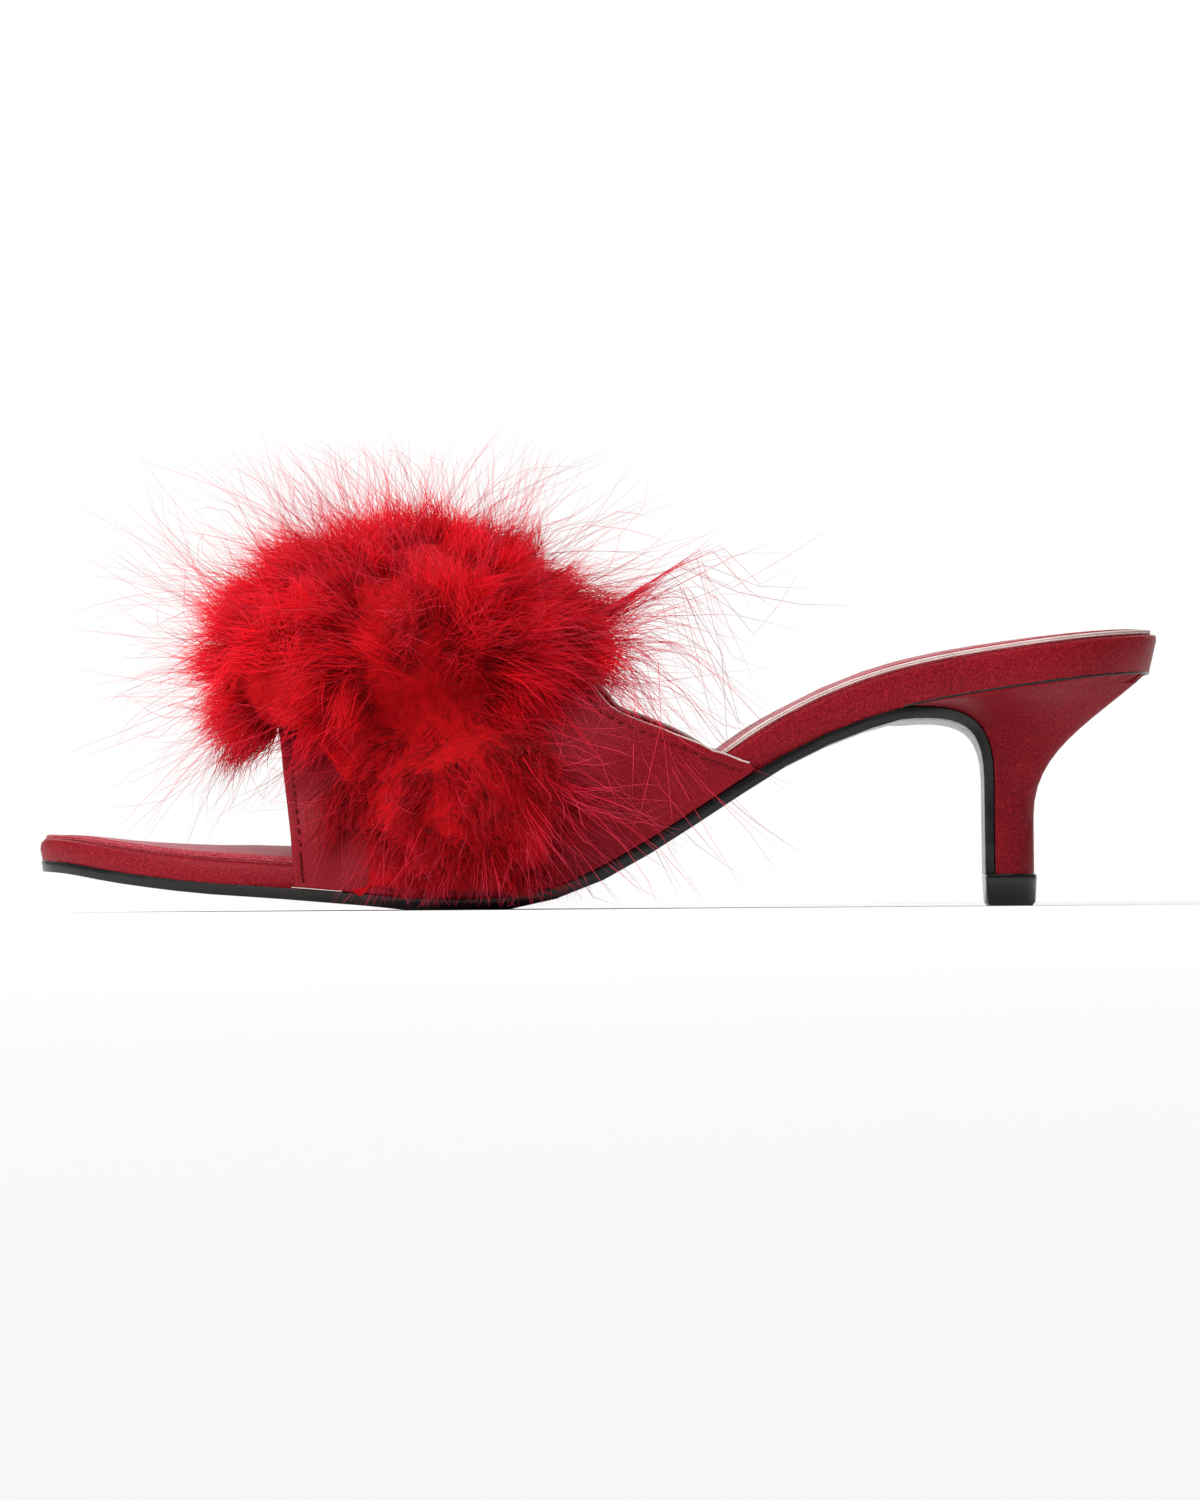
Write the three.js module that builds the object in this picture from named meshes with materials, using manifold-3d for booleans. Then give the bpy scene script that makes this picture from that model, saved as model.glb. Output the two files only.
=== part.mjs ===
// A left slipper with an open toe, a low curved heel and a feather pompom, as its maker puts it together:
// outsole, cloth-wrapped footbed, padded sock, upper, heel, heel tip and pompom.
// Millimetres, +Z up. The toe points to -X and the outer side of the foot faces -Y.
import * as THREE from "three";
import { mergeVertices } from "three/addons/utils/BufferGeometryUtils.js";
import Module from "manifold-3d";

const { clamp, lerp, smoothstep } = THREE.MathUtils;
const wasm = await Module();
wasm.setup();

// Sizes of the whole shoe
const soleLength = 238; // toe tip to back of the heel, along the floor
const ballWidth = 78; // across the joints of the foot
const heelLift = 47.5; // footbed at the back of the heel above footbed at the ball
const toeSpring = 9; // toe tip above the ball
const toeRound = 26; // length over which the toe closes to its tip
const heelRound = 27; // the same at the back of the heel
const archLift = 2; // inner edge of the waist above its outer edge
const jointGap = 0.3; // between two pieces that are glued together
const tuftGap = 0.6; // between the pompom and the upper it is sewn to

// Sizes of single pieces
const outsoleThickness = 2.3;
const treadFlat = 0.15; // depth ground off the tread where it stands on the floor
const treadReach = 0.2; // the tread is flat wherever its curve would come this close to the floor
const breastFlapThickness = 1.8; // the outsole where it runs down the front of the heel
const toeBedThickness = 4.6;
const seatBedThickness = 7.6;
const toeEdgeSlant = 0.5; // the footbed's lower edge lies this far inside its upper edge at the toe
const seatEdgeSlant = 1.6; // and this far at the heel
const bedCornerRound = 1.2;
const toeNoseRound = 2.4; // roll of the footbed's top edge over the toe tip
const sockInset = 0.9; // from the footbed's edge to the sock's edge
const sockEdge = 1.2; // thickness of the sock at its edge
const sockTaper = 12; // length over which that edge thins towards toe tip and heel
const sockPadding = 2.6; // how much thicker its padding is in the middle of the ball
const upperWall = 1.6;
const upperSkirt = 2.6; // the upper stands upright beside the footbed and this much further up
const instepHeight = 54; // top of the upper above the footbed's underside
const ridgeOffset = 4; // the upper's ridge lies this far to the inner side
const stemWidth = 11;
const stemDepth = 8.6;
const stemFromBack = 34.9; // from the back of the shoe to the front of the heel's stem
const stemHeight = 19; // height at which the back of the stem starts to flare
const breastHeight = 27; // height at which the front of the stem starts to curve forwards
const tipHeight = 6.5;
const tipMargin = 0.6; // the heel tip is this much larger than the stem
const tuftDepth = 9; // thickness of the strip of packed feathers that is sewn over the ridge
const tuftSideDepth = 5; // and at its lower ends
const ballLength = 80; // the pompom's ball along the foot
const ballBreadth = 98; // and across it
const ballHeight = 55;
const ballForward = 2; // middle of the ball in front of the strip's middle
const ballRise = 6; // and above the upper's ridge
const lobeLength = 47; // the feathers that hang down each side, along the foot
const lobeBreadth = 36;
const lobeHeight = 46;
const lobeDrop = 3; // middle of a lobe below the line where it is sewn on
const lockReach = 8; // tips of the locks outside the ball
const lockWidth = 21;
const lobeLockWidth = 14;
const floorGap = 0.8; // the lowest feathers end this far above the floor
const ballLocks = 54; // locks all round the ball, of which the lower ones are left out
const lobeLocks = 36;

// The sole from toe to heel. along is a share of soleLength, centre and half are shares of ballWidth,
// spring is a share of toeSpring, rise a share of heelLift and padding a share of sockPadding.
const soleTable = [
  { along: 0.0, centre: 0.07, half: 0.19, spring: 1.0, rise: 0.0, padding: 0.0 },
  { along: 0.03, centre: 0.067, half: 0.228, spring: 0.925, rise: 0.0, padding: 0.05 },
  { along: 0.08, centre: 0.059, half: 0.297, spring: 0.69, rise: 0.0, padding: 0.25 },
  { along: 0.15, centre: 0.044, half: 0.391, spring: 0.45, rise: 0.0, padding: 0.65 },
  { along: 0.22, centre: 0.026, half: 0.453, spring: 0.31, rise: 0.0, padding: 1.0 },
  { along: 0.3, centre: 0.008, half: 0.492, spring: 0.13, rise: 0.0, padding: 1.0 },
  { along: 0.36, centre: -0.004, half: 0.5, spring: 0.0, rise: 0.0, padding: 1.0 },
  { along: 0.42, centre: -0.013, half: 0.48, spring: 0.0, rise: 0.006, padding: 0.95 },
  { along: 0.48, centre: -0.019, half: 0.436, spring: 0.0, rise: 0.08, padding: 0.85 },
  { along: 0.54, centre: -0.024, half: 0.39, spring: 0.0, rise: 0.235, padding: 0.75 },
  { along: 0.6, centre: -0.026, half: 0.354, spring: 0.0, rise: 0.425, padding: 0.6 },
  { along: 0.66, centre: -0.024, half: 0.335, spring: 0.0, rise: 0.615, padding: 0.5 },
  { along: 0.72, centre: -0.019, half: 0.331, spring: 0.0, rise: 0.753, padding: 0.5 },
  { along: 0.78, centre: -0.012, half: 0.338, spring: 0.0, rise: 0.84, padding: 0.5 },
  { along: 0.86, centre: -0.003, half: 0.351, spring: 0.0, rise: 0.908, padding: 0.45 },
  { along: 0.93, centre: 0.0, half: 0.351, spring: 0.0, rise: 0.954, padding: 0.35 },
  { along: 1.0, centre: 0.0, half: 0.346, spring: 0.0, rise: 0.99, padding: 0.0 },
];

// The ridge of the upper. height is a share of instepHeight; square makes the arch boxier than an ellipse.
const ridgeTable = [
  { along: 0.1, height: 0.5, square: 2.5 },
  { along: 0.21, height: 0.65, square: 2.4 },
  { along: 0.3, height: 0.8, square: 2.25 },
  { along: 0.38, height: 0.92, square: 2.1 },
  { along: 0.47, height: 0.99, square: 2.0 },
  { along: 0.66, height: 1.0, square: 2.0 },
];

// The cut edges of the upper. around runs over the foot from its outer edge on the sole (0) past the ridge (0.5)
// to its inner edge (1); front and back are shares of soleLength.
const edgeTable = [
  { around: 0.0, front: 0.238, back: 0.636 },
  { around: 0.015, front: 0.238, back: 0.634 },
  { around: 0.035, front: 0.237, back: 0.625 },
  { around: 0.08, front: 0.236, back: 0.606 },
  { around: 0.106, front: 0.235, back: 0.592 },
  { around: 0.153, front: 0.232, back: 0.562 },
  { around: 0.25, front: 0.226, back: 0.506 },
  { around: 0.5, front: 0.215, back: 0.456 },
  { around: 0.753, front: 0.224, back: 0.515 },
  { around: 0.805, front: 0.228, back: 0.544 },
  { around: 0.844, front: 0.232, back: 0.567 },
  { around: 0.886, front: 0.235, back: 0.59 },
  { around: 0.95, front: 0.238, back: 0.622 },
  { around: 1.0, front: 0.24, back: 0.642 },
];

// Where pieces meet, as shares of soleLength
const breastStart = 0.765; // the outsole leaves the footbed and turns down the heel
const waist = 0.62; // middle of the lifted inner edge
const waistReach = 0.2;
const tuftMiddle = 0.325; // over the ridge
const tuftReach = 0.115;
const tuftSideMiddle = 0.385; // at its lower ends
const tuftSideReach = 0.08;
const tuftTilt = 0.12; // the ball leans back by this share of its length

// One column of a table at a place between its rows, on a smooth curve through the rows.
function read(table, key, column, at) {
  const end = table.length - 1;
  let i = 0;
  while (i < end - 1 && table[i + 1][key] <= at) i += 1;
  const slope = (k) => {
    const before = table[Math.max(k - 1, 0)];
    const after = table[Math.min(k + 1, end)];
    return (after[column] - before[column]) / (after[key] - before[key]);
  };
  const span = table[i + 1][key] - table[i][key];
  const t = clamp((at - table[i][key]) / span, 0, 1);
  const from = table[i][column];
  const to = table[i + 1][column];
  const bend = (slope(i) * (1 - t) - slope(i + 1) * t) * span;
  return lerp(from, to, t * t * (3 - 2 * t)) + t * (1 - t) * bend;
}

// Share of full width at a distance from a rounded end.
function closing(distance, round) {
  return Math.sqrt(1 - clamp(1 - distance / round, 0, 1) ** 2);
}

// The sole's outline at a section: its middle and half its width.
function plan(along) {
  const fromToe = along * soleLength;
  const half = read(soleTable, "along", "half", along) * ballWidth;
  const ends = closing(fromToe, toeRound) * closing(soleLength - fromToe, heelRound);
  return {
    centre: read(soleTable, "along", "centre", along) * ballWidth,
    half: Math.max(half * ends, 0.3),
  };
}

// How far the footbed's lower edge lies inside its upper edge.
function edgeSlant(along) {
  return lerp(toeEdgeSlant, seatEdgeSlant, smoothstep(along, 0.1, 0.9));
}

// A place on the sole: side runs from -1 at the outer edge to 1 at the inner edge, of an outline drawn in by inset.
function outlinePoint(along, side, inset) {
  const x = (along - 0.5) * (soleLength - 2 * inset);
  const { centre, half } = plan(along);
  return { x, y: centre + side * half * (1 - (2 * inset) / ballWidth), at: x / soleLength + 0.5 };
}

// Height of the footbed's underside.
function bedUnder(along, side = 0) {
  const hump = Math.cos((Math.PI / 2) * clamp((along - waist) / waistReach, -1, 1)) ** 2;
  return (
    outsoleThickness +
    jointGap -
    treadFlat +
    read(soleTable, "along", "spring", along) * toeSpring +
    read(soleTable, "along", "rise", along) * heelLift +
    archLift * hump * clamp(side, 0, 1) ** 2
  );
}

// Pitch of the footbed in side view.
function bedPitch(along) {
  const step = 0.004;
  const low = Math.max(along - step, 0);
  const high = Math.min(along + step, 1);
  return Math.atan2(bedUnder(high) - bedUnder(low), (high - low) * soleLength);
}

// Height of the footbed's top face, which rolls down over the toe tip.
function bedOver(along, side = 0) {
  const thickness = lerp(toeBedThickness, seatBedThickness, smoothstep(along, 0.4, 0.85));
  const roll = toeNoseRound * (1 - closing(along * soleLength, toeNoseRound));
  return bedUnder(along, side) + thickness / Math.cos(bedPitch(along)) - roll;
}

// Sections closer together at both ends, where the outline turns.
function sections(count, from, to) {
  return Array.from({ length: count + 1 }, (_, i) => lerp(from, to, (1 - Math.cos((Math.PI * i) / count)) / 2));
}

function evenly(count, from, to) {
  return Array.from({ length: count + 1 }, (_, i) => lerp(from, to, i / count));
}

// The sections that outsole, footbed and sock share, so that their faces lie alike.
const stations = [...sections(38, 0, 1), breastStart].sort((a, b) => a - b);

// A closed geometry from points and faces, turned so that its faces point out.
function closedGeometry(points, faces) {
  let volume = 0;
  for (const [a, b, c] of faces) volume += points[a].dot(points[b].clone().cross(points[c]));
  const index = volume < 0 ? faces.map(([a, b, c]) => [a, c, b]) : faces;
  const geometry = new THREE.BufferGeometry().setFromPoints(points);
  geometry.setIndex(index.flat());
  return geometry;
}

// A solid through rings of equally many points, closed by a fan at each end.
function loft(rings) {
  const size = rings[0].length;
  const points = rings.flat();
  const faces = [];
  for (let i = 0; i < rings.length - 1; i += 1) {
    for (let j = 0; j < size; j += 1) {
      const a = i * size + j;
      const b = i * size + ((j + 1) % size);
      faces.push([a, b, b + size], [a, b + size, a + size]);
    }
  }
  for (const [start, flip] of [[0, true], [(rings.length - 1) * size, false]]) {
    const middle = points.slice(start, start + size).reduce((sum, p) => sum.add(p), new THREE.Vector3());
    points.push(middle.divideScalar(size));
    for (let j = 0; j < size; j += 1) {
      const [a, b] = [start + j, start + ((j + 1) % size)];
      faces.push(flip ? [points.length - 1, b, a] : [points.length - 1, a, b]);
    }
  }
  return closedGeometry(points, faces);
}

// A wall between two grids of points, closed along its four edges.
function walled(outer, inner) {
  const rows = outer.length;
  const columns = outer[0].length;
  const points = [...outer.flat(), ...inner.flat()];
  const out = (i, j) => i * columns + j;
  const inn = (i, j) => rows * columns + i * columns + j;
  const faces = [];
  const quad = (a, b, c, d) => faces.push([a, b, c], [a, c, d]);
  for (let i = 0; i < rows - 1; i += 1) {
    for (let j = 0; j < columns - 1; j += 1) {
      quad(out(i, j), out(i + 1, j), out(i + 1, j + 1), out(i, j + 1));
      quad(inn(i, j), inn(i, j + 1), inn(i + 1, j + 1), inn(i + 1, j));
    }
    quad(out(i + 1, 0), out(i, 0), inn(i, 0), inn(i + 1, 0));
    quad(out(i, columns - 1), out(i + 1, columns - 1), inn(i + 1, columns - 1), inn(i, columns - 1));
  }
  for (let j = 0; j < columns - 1; j += 1) {
    quad(out(0, j), out(0, j + 1), inn(0, j + 1), inn(0, j));
    quad(out(rows - 1, j + 1), out(rows - 1, j), inn(rows - 1, j), inn(rows - 1, j + 1));
  }
  return closedGeometry(points, faces);
}

// Geometry to solid and back, for the joins and cuts.
function toSolid(geometry) {
  const bare = new THREE.BufferGeometry();
  bare.setAttribute("position", geometry.getAttribute("position"));
  bare.setIndex(geometry.getIndex());
  const merged = mergeVertices(bare, 1e-3);
  return new wasm.Manifold(
    new wasm.Mesh({
      numProp: 3,
      vertProperties: merged.getAttribute("position").array,
      triVerts: new Uint32Array(merged.getIndex().array),
    }),
  );
}

function toGeometry(solid) {
  const mesh = solid.getMesh();
  const geometry = new THREE.BufferGeometry();
  geometry.setAttribute("position", new THREE.BufferAttribute(mesh.vertProperties, 3));
  geometry.setIndex(new THREE.BufferAttribute(mesh.triVerts, 1));
  return geometry;
}

// The footbed: a board from toe to heel, wrapped over its edges.
function makeFootbed() {
  const rings = stations.map((along) => {
    const ring = [];
    const { half } = plan(along);
    const corner = Math.min(bedCornerRound, half / 2);
    const put = (side, inset, height) => {
      const { x, y, at } = outlinePoint(along, side, inset);
      ring.push(new THREE.Vector3(x, y, height(at)));
    };
    for (const side of evenly(6, -1, 1)) put(side, edgeSlant(along), (at) => bedUnder(at, side));
    for (const turn of evenly(2, 0, 1)) {
      const side = 1 - (corner / half) * (1 - Math.cos((turn * Math.PI) / 2));
      const down = corner * (1 - Math.sin((turn * Math.PI) / 2));
      put(side, 0, (at) => bedOver(at, 1) - down);
    }
    for (const side of evenly(6, 1 - corner / half, -1 + corner / half).slice(1, -1)) {
      put(side, 0, (at) => bedOver(at, side));
    }
    for (const turn of evenly(2, 1, 0)) {
      const side = -1 + (corner / half) * (1 - Math.cos((turn * Math.PI) / 2));
      const down = corner * (1 - Math.sin((turn * Math.PI) / 2));
      put(side, 0, (at) => bedOver(at, -1) - down);
    }
    return ring;
  });
  return loft(rings);
}

// The sock: a thin cover over the footbed, padded in the middle.
function makeSock() {
  const rings = stations.map((along) => {
    const padding = sockPadding * read(soleTable, "along", "padding", along);
    const edge = sockEdge * lerp(0.3, 1, closing(Math.min(along, 1 - along) * soleLength, sockTaper));
    const put = (side, lift) => {
      const { x, y, at } = outlinePoint(along, side, sockInset + bedCornerRound / 2);
      return new THREE.Vector3(x, y, bedOver(at, side) + jointGap + lift);
    };
    const under = evenly(6, -1, 1).map((side) => put(side, 0));
    const over = sections(8, 1, -1).map((side) => put(side, edge + padding * (1 - side ** 2)));
    return [...under, ...over];
  });
  return loft(rings);
}

// Front of the heel in side view: from under the footbed it turns down into the stem.
const stemFront = soleLength / 2 - stemFromBack;
const stemBack = stemFront + stemDepth;
const stemFoot = tipHeight + jointGap;
function breastCurve() {
  const x = (breastStart - 0.5) * soleLength;
  const z = bedUnder(breastStart);
  const reach = 0.64 * (stemFront - x);
  return new THREE.CubicBezierCurve(
    new THREE.Vector2(x, z),
    new THREE.Vector2(x + reach, z + 0.4 * reach * Math.tan(bedPitch(breastStart))),
    new THREE.Vector2(stemFront, lerp(breastHeight, z, 0.95)),
    new THREE.Vector2(stemFront, breastHeight),
  );
}

// Back of the heel in side view, from the stem's flare up to the footbed.
function backCurve() {
  const x = soleLength / 2 - seatEdgeSlant - 0.6;
  const z = bedUnder(1);
  return new THREE.CubicBezierCurve(
    new THREE.Vector2(stemBack, stemHeight),
    new THREE.Vector2(stemBack, lerp(stemHeight, z, 0.45)),
    new THREE.Vector2(lerp(stemBack, x, 0.42), lerp(stemHeight, z, 0.62)),
    new THREE.Vector2(x, z),
  );
}

// The heel's levels from its foot to the footbed: where front and back are, and how far the sides have flared.
function heelLevels() {
  const straight = 3;
  const curved = 12;
  const front = breastCurve();
  const back = backCurve();
  const levels = evenly(straight, 0, 1).map((t) => ({
    front: new THREE.Vector2(stemFront, lerp(stemFoot, breastHeight, t)),
    back: new THREE.Vector2(stemBack, lerp(stemFoot, stemHeight, t)),
  }));
  for (const t of evenly(curved, 0, 1).slice(1)) {
    levels.push({ front: front.getPoint(1 - t), back: back.getPoint(t) });
  }
  const full = levels[levels.length - 1].back.x - stemBack;
  for (const level of levels) level.flare = ((level.back.x - stemBack) / full) ** 0.85;
  return levels;
}

// Half the heel's width at a share of the way from its front to its back.
function heelHalf(level, share, extra = 0) {
  const x = lerp(level.front.x, level.back.x, share);
  const along = clamp(x / (soleLength - 2 * seatEdgeSlant) + 0.5, 0, 1);
  const stem = (stemWidth / 2 + extra) * Math.sqrt(1 - share ** 2.6);
  const wide = plan(along).half * (1 - (2 * seatEdgeSlant) / ballWidth);
  return { half: lerp(stem, wide, level.flare), centre: plan(along).centre * level.flare };
}

const heelShares = Array.from({ length: 9 }, (_, i) => Math.sin((Math.PI / 2) * (i / 8)));

function heelRing(level, lift, extra = 0) {
  const side = (sign) => (share) => {
    const { half, centre } = heelHalf(level, share, extra);
    const z = lerp(level.front.y, level.back.y, share) + lift;
    return new THREE.Vector3(lerp(level.front.x, level.back.x, share), centre + sign * half, z);
  };
  return [...heelShares.map(side(-1)), ...heelShares.slice(0, -1).reverse().map(side(1))];
}

// Everything above the footbed's underside, as a cutter for the heel's top.
function aboveFootbed() {
  const depth = seatBedThickness * 2.6;
  const rings = evenly(24, 0.7, 1).map((along) => {
    const drop = jointGap / Math.cos(bedPitch(along));
    const x = (along - 0.5) * soleLength * 1.034;
    const low = bedUnder(clamp(x / soleLength + 0.5, 0, 1)) - drop;
    return [
      new THREE.Vector3(x, -ballWidth, low),
      new THREE.Vector3(x, ballWidth, low),
      new THREE.Vector3(x, ballWidth, low + depth),
      new THREE.Vector3(x, -ballWidth, low + depth),
    ];
  });
  return loft(rings);
}

function makeHeel() {
  const levels = heelLevels();
  const rings = levels.map((level) => heelRing(level, 0));
  rings.push(heelRing(levels[levels.length - 1], 3));
  return toGeometry(toSolid(loft(rings)).subtract(toSolid(aboveFootbed())));
}

// The heel tip: a block under stem and outsole flap, with its lower edge eased.
function makeHeelTip() {
  const ease = 0.8;
  const front = stemFront - breastFlapThickness - jointGap;
  const block = (z, draw) =>
    heelRing(
      {
        front: new THREE.Vector2(front + draw, z),
        back: new THREE.Vector2(stemBack + tipMargin - draw, z),
        flare: 0,
      },
      0,
      tipMargin - draw,
    );
  return loft([block(0, ease + 0.2), block(ease, 0.35), block(tipHeight - 0.3, 0), block(tipHeight, 0.3)]);
}

// The outsole: one strip under the footbed from toe to waist, then down the front of the heel to its tip.
function makeOutsole() {
  const rings = [];
  const sides = evenly(4, -1, 1);
  for (const along of stations.filter((station) => station <= breastStart)) {
    const under = upperCover(along) * (upperWall + jointGap);
    const pitch = bedPitch(along);
    const normal = new THREE.Vector3(Math.sin(pitch), 0, -Math.cos(pitch));
    const at = (side, inset, depth) => {
      const place = outlinePoint(along, side, edgeSlant(along) / 2 + inset);
      const z = bedUnder(place.at, side);
      const p = new THREE.Vector3(place.x, place.y + Math.sign(side) * under, z).addScaledVector(normal, depth);
      if (p.z < treadReach) p.z = 0;
      return p;
    };
    rings.push([
      ...sides.map((side) => at(side, 0, jointGap)),
      ...sides.map((side) => at(-side, 0.5, jointGap + outsoleThickness)),
    ]);
  }
  const breast = heelLevels().reverse().slice(1);
  breast.forEach((level, i) => {
    const before = breast[Math.max(i - 1, 0)].front;
    const after = breast[Math.min(i + 1, breast.length - 1)].front;
    const tangent = after.clone().sub(before).normalize();
    const normal = new THREE.Vector3(tangent.y, 0, -tangent.x);
    const { half, centre } = heelHalf(level, 0);
    const at = (side, draw, depth) =>
      new THREE.Vector3(level.front.x, centre + side * (half - draw), level.front.y).addScaledVector(normal, depth);
    const depth = lerp(outsoleThickness, breastFlapThickness, i / (breast.length - 1));
    rings.push([
      ...sides.map((side) => at(side, 0, jointGap)),
      ...sides.map((side) => at(-side, 0.4, jointGap + depth)),
    ]);
  });
  return loft(rings);
}

// How much of the upper's wall the outsole has to carry at a section, from 0 to 1.
function upperCover(along) {
  const fade = 0.025;
  const first = read(edgeTable, "around", "front", 0);
  const final = read(edgeTable, "around", "back", 1);
  return smoothstep(along, first - fade, first) * (1 - smoothstep(along, final, final + fade));
}

// A point of the upper's outer face. around is 0 on the sole at the outer side, 0.5 on the ridge and 1 at the inner side.
function upperPoint(along, around) {
  const skirtShare = 0.09;
  const { centre, half } = plan(along);
  const wide = half + jointGap + upperWall;
  const base = lerp(bedUnder(along, -1), bedUnder(along, 1), smoothstep(around, 0.3, 0.7));
  const skirtHeight = bedOver(along) - bedUnder(along) + upperSkirt;
  const top = read(ridgeTable, "along", "height", along) * instepHeight;
  const power = 2 / read(ridgeTable, "along", "square", along);
  const turn = Math.PI * clamp((around - skirtShare) / (1 - 2 * skirtShare), 0, 1);
  const cosine = Math.cos(turn);
  const skirt = skirtHeight * Math.min(1, around / skirtShare, (1 - around) / skirtShare);
  const y = centre - wide * Math.sign(cosine) * Math.abs(cosine) ** power + ridgeOffset * Math.sin(turn) ** 2;
  const z = base + skirt + (top - skirtHeight) * Math.sin(turn) ** power;
  return new THREE.Vector3((along - 0.5) * soleLength, y, z);
}

function upperNormal(along, around) {
  const step = 0.004;
  const low = clamp(around - step, 0, 1);
  const high = clamp(around + step, 0, 1);
  const across = upperPoint(along, high).sub(upperPoint(along, low));
  const lengthwise = upperPoint(along + step, around).sub(upperPoint(along - step, around));
  return across.cross(lengthwise).normalize().negate();
}

// The upper: one hollow band over the ball of the foot, open at the toe, at the throat and underneath.
function makeUpper() {
  const outer = [];
  const inner = [];
  for (const around of evenly(34, 0, 1)) {
    const front = read(edgeTable, "around", "front", around);
    const back = read(edgeTable, "around", "back", around);
    const outerRow = [];
    const innerRow = [];
    for (const along of evenly(14, front, back)) {
      const point = upperPoint(along, around);
      const under = point.clone().addScaledVector(upperNormal(along, around), -upperWall);
      if (around === 0 || around === 1) under.z = point.z;
      outerRow.push(point);
      innerRow.push(under);
    }
    outer.push(outerRow);
    inner.push(innerRow);
  }
  return walled(outer, inner);
}

// One lock of feathers: a flattened plume that thins to its tip and sags on the way.
function makeLock(root, direction, length, width, sag) {
  const down = new THREE.Vector3(0, 0, -1);
  const across = new THREE.Vector3(-direction.y, direction.x, 0).normalize();
  const facing = direction.clone().cross(across);
  const rings = [0, 0.55, 1].map((t) => {
    const middle = root.clone().addScaledVector(direction, length * t).addScaledVector(down, sag * t * t);
    const thick = (width / 2) * (1 - 0.84 * t ** 2);
    return evenly(5, 0, 2 * Math.PI).slice(1).map((angle) =>
      middle
        .clone()
        .addScaledVector(across, thick * Math.cos(angle))
        .addScaledVector(facing, thick * 0.6 * Math.sin(angle)),
    );
  });
  return loft(rings);
}

// Directions spread evenly over a sphere.
function fan(count) {
  const golden = Math.PI * (3 - Math.sqrt(5));
  return Array.from({ length: count }, (_, i) => {
    const z = 1 - (2 * i + 1) / count;
    const r = Math.sqrt(1 - z * z);
    return new THREE.Vector3(Math.cos(golden * i) * r, Math.sin(golden * i) * r, z);
  });
}

// A point of a tuft's outside, or further in or out by the scale.
function tuftPoint(tuft, direction, scale) {
  const p = direction.clone().multiply(tuft.size).multiplyScalar(scale / 2);
  p.z += tuftTilt * p.x;
  return p.add(tuft.middle);
}

// A round tuft of packed feathers, a little lumpy.
function makeTuft(tuft) {
  const rings = evenly(10, 0.03, 0.97).map((share) => {
    const polar = Math.PI * share;
    return evenly(15, 0, 2 * Math.PI).slice(1).map((turn) => {
      const lump = 1 + 0.05 * Math.sin(3 * turn) * Math.sin(6 * polar);
      const wide = Math.sin(polar);
      const direction = new THREE.Vector3(wide * Math.cos(turn), -Math.cos(polar), wide * Math.sin(turn));
      return tuftPoint(tuft, direction, lump);
    });
  });
  return loft(rings);
}

// The space that the shoe and the foot take up under the upper's outer face, as a cutter for the feathers.
function underUpper() {
  const below = -2 * outsoleThickness;
  const front = read(edgeTable, "around", "front", 0.5) - 0.0035;
  const rings = evenly(24, front, 0.7).map((along) => {
    const over = evenly(28, 0, 1).map((around) =>
      upperPoint(along, around).addScaledVector(upperNormal(along, around), tuftGap),
    );
    const corners = [over[over.length - 1], over[0]].map((p) => new THREE.Vector3(p.x, p.y, below));
    return [...over, ...corners];
  });
  return loft(rings);
}

function underFloorGap() {
  const rings = [-1, 1].map((end) =>
    [[-1, -1], [1, -1], [1, 1], [-1, 1]].map(
      ([y, z]) => new THREE.Vector3(end * soleLength, y * soleLength, z < 0 ? -soleLength : floorGap),
    ),
  );
  return loft(rings);
}

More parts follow.
